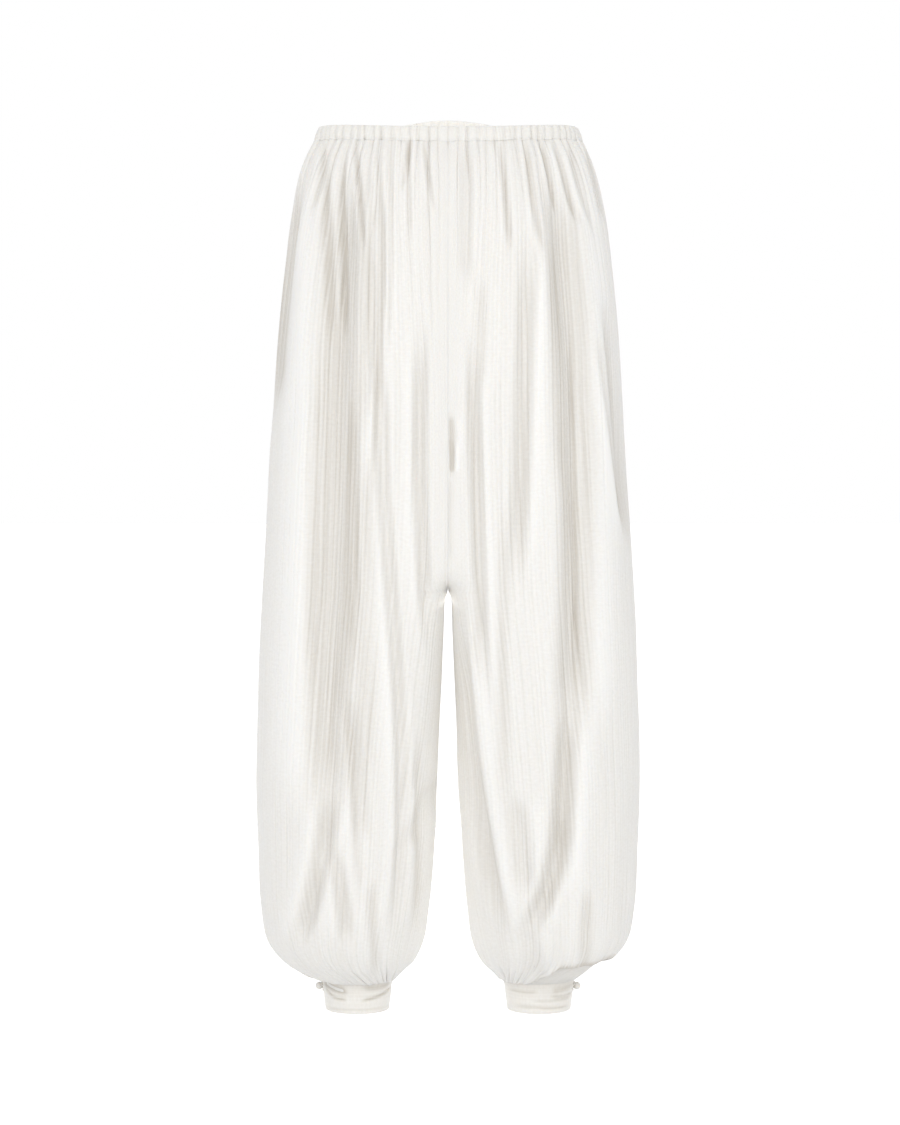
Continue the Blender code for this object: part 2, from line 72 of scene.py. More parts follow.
def aim(obj, target):
    """Turns a camera or light so that it looks at a point."""
    obj.rotation_euler = (Vector(target) - obj.location).to_track_quat("-Z", "Y").to_euler()


lens = bpy.data.cameras.new("studio_camera")
lens.sensor_width = SENSOR
lens.lens = SENSOR * CAMERA_DISTANCE / (PICTURE_HEIGHT * PIXEL)
camera = add_object("studio_camera", lens)
camera.location = (PICTURE_MIDDLE.x, -CAMERA_DISTANCE, CAMERA_HEIGHT)
aim(camera, PICTURE_MIDDLE)
bpy.context.scene.camera = camera
print(f"lens {lens.lens:.0f} mm")

# %% [markdown]
# ## The studio
# White silk in front of white paper is lit from all sides, or it would look grey. A white world
# does that, but at full strength it would also wash out every fold. So the camera sees the world
# at full white, while the silk is lit by a weaker one and by two soft boxes in front. The left one
# is stronger, so the right side of each ridge turns slightly darker. A third stands behind. Two
# places would still be dark, the gap between the legs and the inside of the waist, so weak lights
# stand in them, three in the gap and one in the waist. The floor is white paper that glows a
# little, but it is kept from lighting the silk, which would wash out the folds.

# %% Studio
PAPER_WHITE = 1.0
ROOM_LIGHT = 0.830
SOFT_WHITE = (1.0, 0.994, 0.984)
FLOOR_HEIGHT = -1.12
FLOOR_SIZE = 60.0
FLOOR_GLOW = 0.5

Softbox = namedtuple("Softbox", "name place target width height watts")
SOFTBOXES = [
    Softbox("key_softbox", (-0.5, -3.2, 0.1), (0.0, 0.0, -0.48), 1.1, 1.5, 25.8),
    Softbox("fill_softbox", (2.3, -2.6, -0.2), (0.0, 0.0, -0.5), 1.4, 1.8, 7.0),
    Softbox("back_softbox", (0.0, 2.6, -0.75), (0.0, 0.0, -0.75), 1.6, 0.9, 4.0),
    Softbox("waist_light", (0.0, -0.05, -0.10), (0.0, 0.12, 0.02), 0.12, 0.08, 0.15),
    Softbox("gap_light_left", (0.0004, 0.0, -0.735), (1.0, 0.0, -0.735), 0.17, 0.434, 0.032),
    Softbox("gap_light_right", (-0.0004, 0.0, -0.735), (-1.0, 0.0, -0.735), 0.17, 0.434, 0.032),
    Softbox("gap_light_top", (0.0, -0.075, -0.531), (0.0, -0.082, -0.500), 0.004, 0.070, 0.0012),
]

bpy.context.scene.view_settings.view_transform = "Standard"
studio = bpy.data.worlds.new("studio")
studio.use_nodes = True
bpy.context.scene.world = studio
nodes = studio.node_tree.nodes
room = nodes["Background"]
paper = nodes.new("ShaderNodeBackground")
for shader, strength in ((room, ROOM_LIGHT), (paper, PAPER_WHITE)):
    shader.inputs["Color"].default_value = (1.0, 1.0, 1.0, 1.0)
    shader.inputs["Strength"].default_value = strength
seen = nodes.new("ShaderNodeLightPath")
either = nodes.new("ShaderNodeMixShader")
link = studio.node_tree.links.new
link(seen.outputs["Is Camera Ray"], either.inputs[0])
link(room.outputs[0], either.inputs[1])
link(paper.outputs[0], either.inputs[2])
link(either.outputs[0], nodes["World Output"].inputs["Surface"])

for softbox in SOFTBOXES:
    light = bpy.data.lights.new(softbox.name, "AREA")
    light.shape = "RECTANGLE"
    light.size = softbox.width
    light.size_y = softbox.height
    light.energy = softbox.watts
    light.color = SOFT_WHITE
    box = add_object(softbox.name, light)
    box.location = softbox.place
    box.visible_camera = False
    aim(box, softbox.target)

half_floor = FLOOR_SIZE / 2.0
floor_corners = ((-1, -1), (1, -1), (1, 1), (-1, 1))
floor_points = [(x * half_floor, y * half_floor, FLOOR_HEIGHT) for x, y in floor_corners]
floor_mesh = bpy.data.meshes.new("studio_floor")
floor_mesh.from_pydata(floor_points, [], [(0, 1, 2, 3)])
floor = add_object("studio_floor", floor_mesh)
floor.visible_diffuse = False
print(f"{len(SOFTBOXES)} lights, a white room and a floor at {FLOOR_HEIGHT} m")

# %% [markdown]
# ## How a finish is written
# A finish is a material: a small graph of nodes that ends in Blender's Principled shader. It could
# be drawn by hand in the shader editor. Written as sums in Python it is easier to read and to
# change, so the class below lets Python's operators add the graph's Math nodes.

# %% A value in a finish


class Strand:
    """One value of a finish. An operator on it adds a Math node."""

    def __init__(self, finish, socket):
        self.finish = finish
        self.socket = socket

    def work(self, operation, *values):
        return self.finish.node("ShaderNodeMath", {"operation": operation}, dict(enumerate(values)))

    def __add__(self, other):
        return self.work("ADD", self, other)

    def __sub__(self, other):
        return self.work("SUBTRACT", self, other)

    def __rsub__(self, other):
        return self.work("SUBTRACT", other, self)

    def __mul__(self, other):
        return self.work("MULTIPLY", self, other)

    __radd__ = __add__
    __rmul__ = __mul__


# %% A finish


class Finish:
    """A material whose nodes are added by one method."""

    def __init__(self, name):
        self.material = bpy.data.materials.new(name)
        self.material.use_nodes = True
        self.tree = self.material.node_tree
        self.shader = self.tree.nodes["Principled BSDF"]

    def node(self, kind, settings, sockets, output=0):
        """Adds a node: first its settings, then the values or links of its sockets."""
        node = self.tree.nodes.new(kind)
        for name, value in settings.items():
            setattr(node, name, value)
        for key, value in sockets.items():
            self.feed(node.inputs[key], value)
        return Strand(self, node.outputs[output])

    def feed(self, socket, value):
        if isinstance(value, Strand):
            self.tree.links.new(value.socket, socket)
        else:
            socket.default_value = value

    def set(self, **values):
        """Sets or links sockets of the Principled shader."""
        for name, value in values.items():
            self.feed(self.shader.inputs[name.replace("_", " ").title()], value)

    def stretched(self, place, across, down):
        """The place on the cloth, scaled by its own amounts across and down."""
        scaled = {0: place, 1: (across, down, 0.0)}
        return self.node("ShaderNodeVectorMath", {"operation": "MULTIPLY"}, scaled)

    def noise(self, place, across, down, detail=2.0):
        """Cloudy values from 0 to 1 with so many clouds to the metre across and down."""
        sockets = {"Vector": self.stretched(place, across, down), "Scale": 1.0, "Detail": detail}
        return self.node("ShaderNodeTexNoise", {}, sockets)

    def between(self, share, first, second):
        """A colour between two others."""
        return self.node("ShaderNodeMix", {"data_type": "RGBA"}, {0: share, 6: first, 7: second}, 2)


# %% The floor's paper
white_paper = Finish("white_paper")
white_paper.set(base_color=(0.9, 0.9, 0.9, 1.0), roughness=0.9)
white_paper.set(emission_color=(1.0, 1.0, 1.0, 1.0), emission_strength=FLOOR_GLOW)
floor_mesh.materials.append(white_paper.material)

# %% [markdown]
# ## Pleated silk
# The silk is ivory. Its threads differ a little in tone, which shows as faint streaks down the
# cloth, and thicker weft threads cross them. A pleat's pressed edge is painted a trace darker,
# which is painted shade. All of this could be a painted picture, but noise that follows the cloth's
# own coordinates stays sharp at any distance and bends with the folds. Every piece carries those
# coordinates as cloth_place, in metres across and down, and crease, which is 1 in a pressed edge.
# The attribute valley is 1 in a fold and below 0 on a ridge. It paints shade into the folds, warmer
# and darker, as light that goes from silk to silk would make them, deepens the fine lines there,
# and paints a highlight onto the ridges.

# %% Pleated silk
IVORY = (0.890, 0.884, 0.865, 1.0)
IVORY_SHADE = (0.620, 0.588, 0.536, 1.0)
STREAKS = (190.0, 5.0)
FINE_LINES = (380.0, 4.0)
SLUBS = (190.0, 360.0)
THREADS = (2600.0, 1900.0)
PLAIN_TONE = 0.165
STREAK_TONE = 0.13
SLUB_TONE = 0.36
PRESSED_EDGE_SHADE = 0.20
PAINTED_VALLEY_SHADE = 0.42
LINE_TONE = 0.26
LINE_SHADE_IN_VALLEY = 0.75
STREAK_ROUGHNESS = 0.12
SHEEN_ROUGHNESS = 0.35
LETS_LIGHT_THROUGH = 0.35
LIGHT_TRAVELS = 0.0015
RED_TRAVELS_FURTHER = (1.0, 0.9, 0.75)
THREAD_SHARE = 0.4
BUMP_STRENGTH = 0.5


def silk(name, light, shade, roughness, sheen, thread_height):
    """A silk between two colours, with its roughness, its sheen and how high its threads stand."""
    finish = Finish(name)
    marks = (("cloth_place", "Vector"), ("crease", "Fac"), ("valley", "Fac"))
    place, crease, valley = (
        finish.node("ShaderNodeAttribute", {"attribute_name": mark}, {}, output) for mark, output in marks
    )
    streaks = finish.noise(place, *STREAKS)
    slubs = finish.noise(place, *SLUBS)
    threads = finish.noise(place, *THREADS, detail=0.0)
    fine_lines = finish.noise(place, *FINE_LINES, detail=1.0) - 0.5
    # Painted shade: crease darkens the pressed edges; valley darkens and warms the folds and troughs,
    # deepens the fine lines there and lightens the ridges as a painted highlight
    tone = streaks * STREAK_TONE + (slubs - 0.5) * SLUB_TONE + crease * PRESSED_EDGE_SHADE
    tone = tone + valley * PAINTED_VALLEY_SHADE + fine_lines * (valley * LINE_SHADE_IN_VALLEY + LINE_TONE)
    finish.set(base_color=finish.between(tone + PLAIN_TONE, light, shade))
    finish.set(roughness=streaks * STREAK_ROUGHNESS + (roughness - STREAK_ROUGHNESS / 2.0))
    finish.set(sheen_weight=sheen, sheen_roughness=SHEEN_ROUGHNESS)
    finish.set(subsurface_weight=LETS_LIGHT_THROUGH, subsurface_scale=LIGHT_TRAVELS)
    finish.set(subsurface_radius=RED_TRAVELS_FURTHER)
    height = threads * THREAD_SHARE + slubs
    bump = {"Strength": BUMP_STRENGTH, "Distance": thread_height, "Height": height}
    finish.set(normal=finish.node("ShaderNodeBump", {}, bump))
    return finish


pleated_silk = silk("pleated_silk_cloth", IVORY, IVORY_SHADE, 0.50, 0.10, 0.00042)
print("pleated silk:", len(pleated_silk.tree.nodes), "nodes")

# %% [markdown]
# ## Waistband silk and satin
# The waistband is the same silk, puckered by its elastic. The cuffs, the covered buttons and
# their loops are satin: smoother and glossier, with a finer grain, so their creases shine.

# %% Waistband silk and satin
BAND_IVORY = (0.915, 0.908, 0.882, 1.0)
SATIN_LIGHT = (0.885, 0.872, 0.840, 1.0)
SATIN_SHADE = (0.620, 0.582, 0.520, 1.0)

waistband_silk = silk("waistband_silk_cloth", BAND_IVORY, IVORY_SHADE, 0.52, 0.10, 0.00042)
cuff_satin = silk("cuff_satin_cloth", SATIN_LIGHT, SATIN_SHADE, 0.33, 0.05, 0.00008)
button_satin = silk("button_satin_cloth", SATIN_LIGHT, SATIN_SHADE, 0.36, 0.05, 0.00008)
print("four finishes made")

# %% [markdown]
# ## The cut of a leg
# Seen from above, a leg is a ring that changes from the waist to the cuff. The table gives that
# ring at twenty-two heights: its outer and inner edge in the front view, where it is deepest, how
# deep it is in front and behind, and how square it is. A smooth curve through the table gives all
# the rows between. These are the sizes that the plain solids have too, so both fit each other.

# %% Sizes of a leg
GATHERS_PER_PANEL = 19
COLUMNS = 2 * GATHERS_PER_PANEL
CROTCH_Z = -0.5150
CROTCH_RISE = 0.499
FRONT_CURVE = 60.0
BACK_CURVE = 14.0
CURVE_ROUNDNESS = 2.2
MOST_SHARE = 0.9995

Section = namedtuple("Section", "z outer lobe inner front back outer_square inner_square")
SECTIONS = [
    Section(-0.0160, 0.1480, 0.0002, 0.00015, 0.1000, 0.1040, 2.00, 2.0),
    Section(-0.0400, 0.1597, 0.0120, 0.00015, 0.1080, 0.1140, 2.02, 2.0),
    Section(-0.0900, 0.1730, 0.0350, 0.00015, 0.1160, 0.1280, 2.06, 2.2),
    Section(-0.1600, 0.1824, 0.0560, 0.00015, 0.1210, 0.1380, 2.12, 3.0),
    Section(-0.2400, 0.1905, 0.0740, 0.00015, 0.1230, 0.1410, 2.18, 4.2),
    Section(-0.3100, 0.1952, 0.0860, 0.00015, 0.1220, 0.1370, 2.20, 5.6),
    Section(-0.3850, 0.1997, 0.0945, 0.00015, 0.1188, 0.1300, 2.20, 6.2),
    Section(-0.4550, 0.2043, 0.1003, 0.00015, 0.1160, 0.1238, 2.20, 6.4),
    Section(-0.4900, 0.2065, 0.1026, 0.00015, 0.1147, 0.1212, 2.20, 6.3),
    Section(-0.5060, 0.2075, 0.1035, 0.00015, 0.1142, 0.1201, 2.19, 6.2),
    Section(CROTCH_Z, 0.2080, 0.1040, 0.00060, 0.1139, 0.1195, 2.19, 6.1),
    Section(-0.5240, 0.2085, 0.1045, 0.00370, 0.1136, 0.1190, 2.18, 5.9),
    Section(-0.5600, 0.2103, 0.1062, 0.00540, 0.1126, 0.1170, 2.17, 5.2),
    Section(-0.6250, 0.2126, 0.1088, 0.00820, 0.1112, 0.1143, 2.14, 4.2),
    Section(-0.7300, 0.2150, 0.1128, 0.01260, 0.1110, 0.1130, 2.10, 2.9),
    Section(-0.8100, 0.2130, 0.1139, 0.01620, 0.1102, 0.1122, 2.08, 2.5),
    Section(-0.8750, 0.2090, 0.1148, 0.02180, 0.1055, 0.1075, 2.06, 2.2),
    Section(-0.9100, 0.2020, 0.1140, 0.02720, 0.0950, 0.0970, 2.04, 2.0),
    Section(-0.9310, 0.1850, 0.1110, 0.03720, 0.0790, 0.0800, 2.02, 2.0),
    Section(-0.9400, 0.1695, 0.1080, 0.04700, 0.0660, 0.0660, 2.00, 2.0),
    Section(-0.9505, 0.1500, 0.1034, 0.05750, 0.0490, 0.0490, 2.00, 2.0),
    Section(-0.9535, 0.1452, 0.1022, 0.05920, 0.0430, 0.0430, 2.00, 2.0),
]

# %% [markdown]
# ## Rows and columns
# A panel needs short rows where the cloth turns quickly, at the waist seam and over the cuff, and
# longer ones down the leg. Across, it has twelve steps for each of its 38 half gathers, which is
# six for each fine pleat: enough to show a pressed edge as real shape.

# %% Rows and columns
STEPS = 12
ACROSS = COLUMNS * STEPS
ROW_AT = (0.0, 0.012, 0.05, 0.15, 0.44, 0.49, 0.53, 0.57, 0.80, 0.89, 0.945, 0.99)
ROW_STEP = (0.0016, 0.0034, 0.0050, 0.0062, 0.0062, 0.0048, 0.0048, 0.0062, 0.0062, 0.0052, 0.0034, 0.0022)
columns = np.arange(ACROSS + 1) / STEPS
leg_columns = np.arange(2 * ACROSS + 1) / STEPS


def smooth_step(value):
    """0 below 0, 1 above 1, and a soft curve between."""
    value = np.clip(value, 0.0, 1.0)
    return value * value * (3.0 - 2.0 * value)


def run_of(steps):
    """Distances from the start of a line, from the lengths of its steps."""
    return np.concatenate([[0.0], np.cumsum(steps)])


def unit(directions):
    """The same directions, each one unit long."""
    return directions / np.linalg.norm(directions, axis=-1, keepdims=True)


def numbered(shape):
    """The numbers of a grid's points, row after row."""
    return np.arange(shape[0] * shape[1]).reshape(shape[:2])


def between_lines(values, place):
    """Values that are known at numbered lines, read at places between the lines."""
    lines = np.arange(values.shape[-1])
    if values.ndim == 1:
        return np.interp(place, lines, values)
    return np.stack([np.interp(place, lines, row) for row in values])


def flat_places(across, along):
    """A grid of places on flat cloth, in metres."""
    across, along = np.broadcast_arrays(across, along)
    return np.stack([across, along, np.zeros_like(across)], axis=2)


def smooth_curve(known, values, wanted):
    """A smooth curve through known values that never swings past them."""
    step = np.diff(known)
    slope = np.diff(values) / step
    mean = (slope[:-1] + slope[1:]) / 2.0
    most = 3.0 * np.minimum(np.abs(slope[:-1]), np.abs(slope[1:]))
    same_way = slope[:-1] * slope[1:] > 0.0
    inner = np.where(same_way, np.sign(mean) * np.minimum(np.abs(mean), most), 0.0)
    tangent = np.concatenate([slope[:1], inner, slope[-1:]])
    i = np.clip(np.searchsorted(known, wanted, side="right") - 1, 0, len(step) - 1)
    t = (wanted - known[i]) / step[i]
    start = (1.0 + 2.0 * t) * (1.0 - t) ** 2 * values[i]
    end = t * t * (3.0 - 2.0 * t) * values[i + 1]
    bend = t * (1.0 - t) * step[i] * ((1.0 - t) * tangent[i] - t * tangent[i + 1])
    return start + end + bend


def panel_rows():
    """The section of every row, and how far down the cloth each row is."""
    table = np.array(SECTIONS)
    length = run_of(np.hypot(np.diff(table[:, 0]), np.diff(table[:, 1])))
    places = [0.0]
    while places[-1] < length[-1]:
        places.append(places[-1] + np.interp(places[-1], ROW_AT, ROW_STEP))
    if len(places) % 2 == 0:
        places.append(places[-1] + ROW_STEP[-1])
    wanted = np.array(places) * length[-1] / places[-1]
    values = [smooth_curve(length, table[:, i], wanted) for i in range(table.shape[1])]
    return [Section(*row) for row in zip(*values)], wanted


sections, down = panel_rows()
row_z = np.array([section.z for section in sections])[:, None]
closed_leg = row_z[:, 0] <= CROTCH_Z
print(f"{len(sections)} rows of {ACROSS} steps, {down[-1]:.3f} m of cloth from waist to cuff")

# %% [markdown]
# ## One row of a panel
# A row is half of the leg's ring, from the side seam to the centre seam. Above the crotch the
# ring is open, because both legs share the seat there, and the seam runs in a curve from the
# waist down and under. The gathers keep their distance from the side seam and run together
# towards the centre, as cloth does that was cut wider below.

# %% One row of a panel
GATHER_SEED = 7
GATHER_UNEVENNESS = 0.40
GATHERS_AT = (0.0, 0.84, 0.90, 0.95, 1.0)
CLOTH_AT = (0.0, 0.685, 0.745, 0.855, 1.0)
CROWDED_FROM = 0.66
EVEN_CROWD = 0.30
GAP_SLOPE = 0.0745
CROWDING_FADE = 2.2
OUTLINE_POINTS = 3000


def gather_columns():
    """Where each half gather ends, from 0 at the side seam to 1 at the centre."""
    even = np.arange(COLUMNS + 1) / COLUMNS
    wander = np.random.default_rng(GATHER_SEED).uniform(-1.0, 1.0, COLUMNS + 1)
    wander[[0, -1]] = 0.0
    return even + wander * GATHER_UNEVENNESS / COLUMNS


at_waist = np.interp(columns / COLUMNS, CLOTH_AT, GATHERS_AT)
gathers_at = np.interp(at_waist, gather_columns(), np.arange(COLUMNS + 1))
leg_gathers = np.concatenate([COLUMNS - gathers_at[::-1], COLUMNS + gathers_at[1:]])


def seam_share(z, curve):
    """The centre seam's depth over the leg's: 1 at the waist, 0 from the crotch down."""
    height = np.clip((z - CROTCH_Z) / CROTCH_RISE, 0.0, 1.0)
    return (1.0 - (1.0 - height) ** curve) ** (1.0 / CURVE_ROUNDNESS)


def half_outline(section, depth, share):
    """A panel's outline at one height, from the side seam to the centre seam."""
    end = math.pi - math.asin(min(share, MOST_SHARE) ** (section.inner_square / 2.0))
    angle = np.linspace(0.0, end, OUTLINE_POINTS)
    outside = angle <= math.pi / 2.0
    power = 2.0 / np.where(outside, section.outer_square, section.inner_square)
    across = np.abs(np.cos(angle)) ** power
    reach = max(abs(math.cos(end)) ** (2.0 / section.inner_square), 1e-6)
    to_outer = (section.outer - section.lobe) * across
    to_inner = (section.lobe - section.inner) * across / reach
    x = section.lobe + np.where(outside, to_outer, -to_inner)
    y = depth * np.abs(np.sin(angle)) ** power
    return x, y, run_of(np.hypot(np.diff(x), np.diff(y)))


def along_panel(at_waist, width, closed_width, z):
    """Distances from the side seam, in a panel that is narrower above the crotch."""
    height = np.clip((z - CROTCH_Z) / CROTCH_RISE, 0.0, 1.0)
    below = 1.0 - height**CROWDING_FADE
    place = at_waist + (np.interp(at_waist, GATHERS_AT, CLOTH_AT) - at_waist) * below
    spread = width + (closed_width - width) * below
    rest = width - CROWDED_FROM * spread
    squeeze = (1.0 - CROWDED_FROM) * spread / rest
    share = np.clip((place - CROWDED_FROM) / (1.0 - CROWDED_FROM), 0.0, 1.0)
    crowded = EVEN_CROWD * share + (1.0 - EVEN_CROWD) * (1.0 - (1.0 - share) ** squeeze)
    return np.where(place < CROWDED_FROM, place * spread, CROWDED_FROM * spread + rest * crowded)


def plain_outline(section, depth, share):
    """A panel's outline at one height with no folds: its x and y at each column."""
    x, y, length = half_outline(section, depth, share)
    joined = section._replace(inner=min(section.inner, GAP_SLOPE * max(CROTCH_Z - section.z, 0.0)))
    closed_width = half_outline(joined, depth, 0.0)[2][-1]
    wanted = along_panel(at_waist, length[-1], closed_width, section.z)
    return np.interp(wanted, length, x), np.interp(wanted, length, y)


# %% [markdown]
# ## A plain leg
# All rows together make one leg with no folds yet. The waist dips in front and rises behind, as
# on a pair that is worn. The directions that point straight out of the cloth are worked out here
# as well, because every pleat, gather and fold moves the cloth along them. The waist seam isn't
# quite level: it rises and falls by up to a millimetre from gather to gather.

# %% A plain leg
FRONT_DIP = 0.0095
BACK_RISE = 0.0195
TILT_FADES_BY = 0.260
SEAM_WAVE = 0.0010
SEAM_WAVE_SEED = 3
SEAM_WAVE_FADE = 0.012


def waist_tilt(y, section):
    """How far the waist seam dips in front and rises behind."""
    dip = FRONT_DIP * np.clip(-y / section.front, 0.0, 1.0) ** 2
    rise = BACK_RISE * np.clip(y / section.back, 0.0, 1.0) ** 6
    return (rise - dip) * smooth_step(1.0 + section.z / TILT_FADES_BY)


def plain_leg():
    """The left leg as a grid of points [row, column], front centre over side seam to back centre."""
    rows = []
    for section in sections:
        x_front, y_front = plain_outline(section, section.front, seam_share(section.z, FRONT_CURVE))
        x_back, y_back = plain_outline(section, section.back, seam_share(section.z, BACK_CURVE))
        x = np.concatenate([x_front[::-1], x_back[1:]])
        y = np.concatenate([-y_front[::-1], y_back[1:]])
        rows.append(np.stack([x, y, section.z + waist_tilt(y, section)], axis=1))
    return np.array(rows)


def outward(down_cloth, around):
    """Unit normals from the two directions of a surface, level along its top and bottom edge."""
    normal = np.cross(down_cloth, around)
    normal[[0, -1], :, 2] = 0.0
    return unit(normal)


def leg_normals(grid):
    """Outward normals of a plain leg, which the panels on both sides of a seam share."""
    mirror = np.array([-1.0, 1.0, 1.0])
    closed = closed_leg[:, None]
    before = np.where(closed, grid[:, -2], grid[:, 1] * mirror)[:, None]
    after = np.where(closed, grid[:, 1], grid[:, -2] * mirror)[:, None]
    padded = np.concatenate([before, grid, after], axis=1)
    return outward(np.gradient(grid, axis=0), padded[:, 2:] - padded[:, :-2])


leg_grid = plain_leg()
seam_wave = np.random.default_rng(SEAM_WAVE_SEED).uniform(-SEAM_WAVE, SEAM_WAVE, 2 * COLUMNS + 1)
seam_wave = between_lines(seam_wave, leg_gathers)
leg_grid[:, :, 2] += seam_wave * np.exp(-((down / SEAM_WAVE_FADE) ** 2))[:, None]
leg_out = leg_normals(leg_grid)
print("plain leg:", leg_grid.shape[0], "x", leg_grid.shape[1], "points")

# %% [markdown]
# ## The long soft folds
# Wide cloth that hangs from a gathered waist falls in a few long folds. Each is a valley that
# wanders down its panel, with a low ridge on both sides. The first table has the large folds that
# the solids have too. The second has the light creases between them, also placed one by one. Both
# give each fold's top and bottom height, its distance from the centre line at four heights, its
# depth and half its width, in millimetres.

# %% The large folds
Fold = namedtuple("Fold", "top bottom x_top x_upper x_lower x_bottom depth half_width")


def folds_from(table):
    """The folds of each panel, from a table whose columns are those of Fold in millimetres."""
    return {panel: [Fold(*(v / 1000.0 for v in row)) for row in rows] for panel, rows in table.items()}


FOLDS = folds_from({
    "front_right": [
        (-28, -785, 115, 120, 128, 128, 14, 19.5),
        (-725, -912, 131, 135, 149, 166, 9, 9),
        (-785, -905, 124, 119, 113, 114, 6, 7),
        (-620, -800, 107, 102, 96, 94, 5, 8),
        (-39, -370, 94, 78, 86, 92, 5.5, 9),
        (-220, -910, 68, 66, 51, 63, 6, 6),
        (-200, -590, 27, 30, 28, 18, 6.2, 6.2),
        (-715, -800, 11, 22, 34, 44, 3.4, 9),
        (-50, -330, 158, 174, 182, 189, 5, 10),
    ],
    "front_left": [
        (-39, -700, 111, 137, 140, 135, 13, 15),
        (-625, -910, 133, 127, 115, 71, 11.8, 10),
        (-750, -880, 127, 128, 129, 130, 3.6, 8),
        (-100, -540, 92, 83, 78, 68, 6.8, 7.8),
        (-17, -190, 17, 19, 18, 22, 3.5, 6.5),
        (-200, -650, 25, 29, 34, 40, 6.8, 6),
        (-540, -910, 12, 21, 39, 64, 9.5, 8),
        (-730, -850, 72, 76, 81, 83, 5.5, 10),
        (-880, -945, 90, 91, 93, 94, 4, 9),
        (-180, -450, 170, 181, 190, 197, 5, 9),
    ],
    "back_right": [
        (-20, -560, 110, 124, 132, 138, 14.5, 15.5),
        (-500, -930, 140, 134, 128, 160, 10, 12),
        (-40, -420, 78, 88, 94, 100, 6.5, 10.5),
        (-240, -880, 50, 56, 66, 74, 9, 10),
        (-200, -560, 22, 26, 30, 24, 7, 8.5),
        (-700, -915, 34, 46, 56, 64, 6.5, 8.5),
        (-120, -480, 162, 176, 186, 192, 5, 10),
    ],
    "back_left": [
        (-20, -620, 116, 112, 122, 134, 15, 15.5),
        (-560, -925, 134, 138, 128, 104, 10, 11),
        (-60, -380, 84, 76, 82, 88, 6, 10.5),
        (-280, -840, 60, 52, 48, 56, 9, 9.5),
        (-210, -600, 26, 30, 24, 20, 7.5, 8.5),
        (-760, -930, 150, 156, 164, 172, 6, 9),
        (-140, -520, 166, 172, 184, 194, 5, 10),
    ],
})

# %% The light creases between them
CREASES = folds_from({
    "front_right": [
        (-18, -260, 131, 134, 132, 129, 2.3, 4),
        (-18, -105, 134, 138, 142, 149, 2.3, 3),
        (-22, -250, 106, 119, 117, 118, 3.1, 3.4),
        (-18, -150, 100, 98, 94, 91, 2.7, 3.2),
        (-18, -430, 77, 70, 75, 83, 2.2, 3.6),
        (-18, -280, 63, 61, 62, 66, 1.6, 2.8),
        (-18, -85, 41, 44, 47, 49, 1.9, 3.2),
        (-18, -140, 41, 42, 41, 41, 1.5, 2.4),
        (-18, -105, 27, 23, 19, 15, 1.9, 2.8),
        (-45, -330, 160, 177, 188, 192, 2.6, 7),
        (-110, -330, 88, 83, 80, 77, 1.4, 7),
        (-320, -760, 86, 89, 89, 87, 1.9, 12),
        (-280, -620, 104, 107, 106, 103, 1.8, 8.5),
        (-300, -560, 98, 100, 99, 96, 1.4, 3),
        (-250, -640, 142, 146, 150, 150, 1.4, 6),
        (-620, -860, 110, 104, 99, 96, 1.4, 4.2),
        (-660, -900, 30, 33, 32, 40, 1.9, 5),
        (-820, -950, 78, 82, 80, 84, 1.9, 5.5),
    ],
    "front_left": [
        (-18, -150, 55, 60, 64, 67, 2.3, 3.6),
        (-18, -150, 84, 88, 94, 103, 2.3, 3.6),
        (-18, -105, 100, 107, 114, 121, 2.8, 3.2),
        (-18, -120, 112, 124, 134, 146, 2.8, 3.2),
        (-18, -130, 132, 140, 150, 160, 2.3, 3.6),
        (-18, -110, 150, 159, 166, 172, 2, 3.6),
        (-165, -305, 37, 36, 36, 36, 1.5, 6.2),
        (-120, -420, 115, 115, 117, 124, 1.8, 8.5),
        (-200, -650, 138.5, 140.5, 142, 140, 2.2, 2.8),
        (-190, -480, 171, 180, 191, 205, 2.4, 6),
        (-215, -470, 159, 170, 183, 199, 2.6, 4),
        (-320, -362, 3, 4, 4, 4, 2.6, 3.5),
        (-350, -386, 3.5, 4.3, 4.3, 4, 10, 2.6),
        (-318, -372, 2, 3, 4, 4, 1.6, 4.5),
        (-380, -490, 3, 2, 2, 4, 1.1, 4),
        (-400, -760, 58, 60, 60, 62, 1.4, 6),
        (-830, -950, 150, 152, 150, 146, 1.9, 7),
    ],
    "back_right": [
        (-18, -160, 60, 64, 66, 70, 2.3, 4.4),
        (-18, -120, 136, 146, 152, 160, 2, 4.4),
        (-18, -100, 30, 33, 36, 37, 1.9, 4),
        (-420, -780, 92, 96, 94, 90, 1.8, 6),
        (-820, -950, 110, 108, 104, 104, 2, 6),
    ],
    "back_left": [
        (-18, -150, 54, 56, 62, 66, 2.3, 4.4),
        (-18, -130, 140, 148, 156, 164, 2, 4.4),
        (-18, -100, 34, 35, 40, 43, 1.9, 4),
        (-380, -720, 88, 86, 90, 94, 1.8, 6),
        (-830, -950, 88, 92, 94, 98, 2, 6),
    ],
})

# %% How a fold draws the cloth in
FOLD_END_FADE = 0.24
LONGEST_FADE = 0.110
FOLD_RISES = 0.6
FOLD_SOFTENS = 2.2
FOLD_FROM_CENTRE = 0.002
FOLD_FREE_OF_CENTRE = 0.016
FOLD_FREE_OF_SIDE = 0.022
RIDGE_AT = 2.1
RIDGE_NARROWS = 0.9

# How the folds of each table paint shade into their valleys and a highlight onto their ridges
FoldLook = namedtuple("FoldLook", "table full_depth steepness narrows inner_ridge outer_ridge")
FOLD_LOOKS = [
    FoldLook(FOLDS, 0.0140, 4, 0.28, 0.10, 0.62),
    FoldLook(CREASES, 0.0027, 2, 1.10, 0.20, 0.20),
]


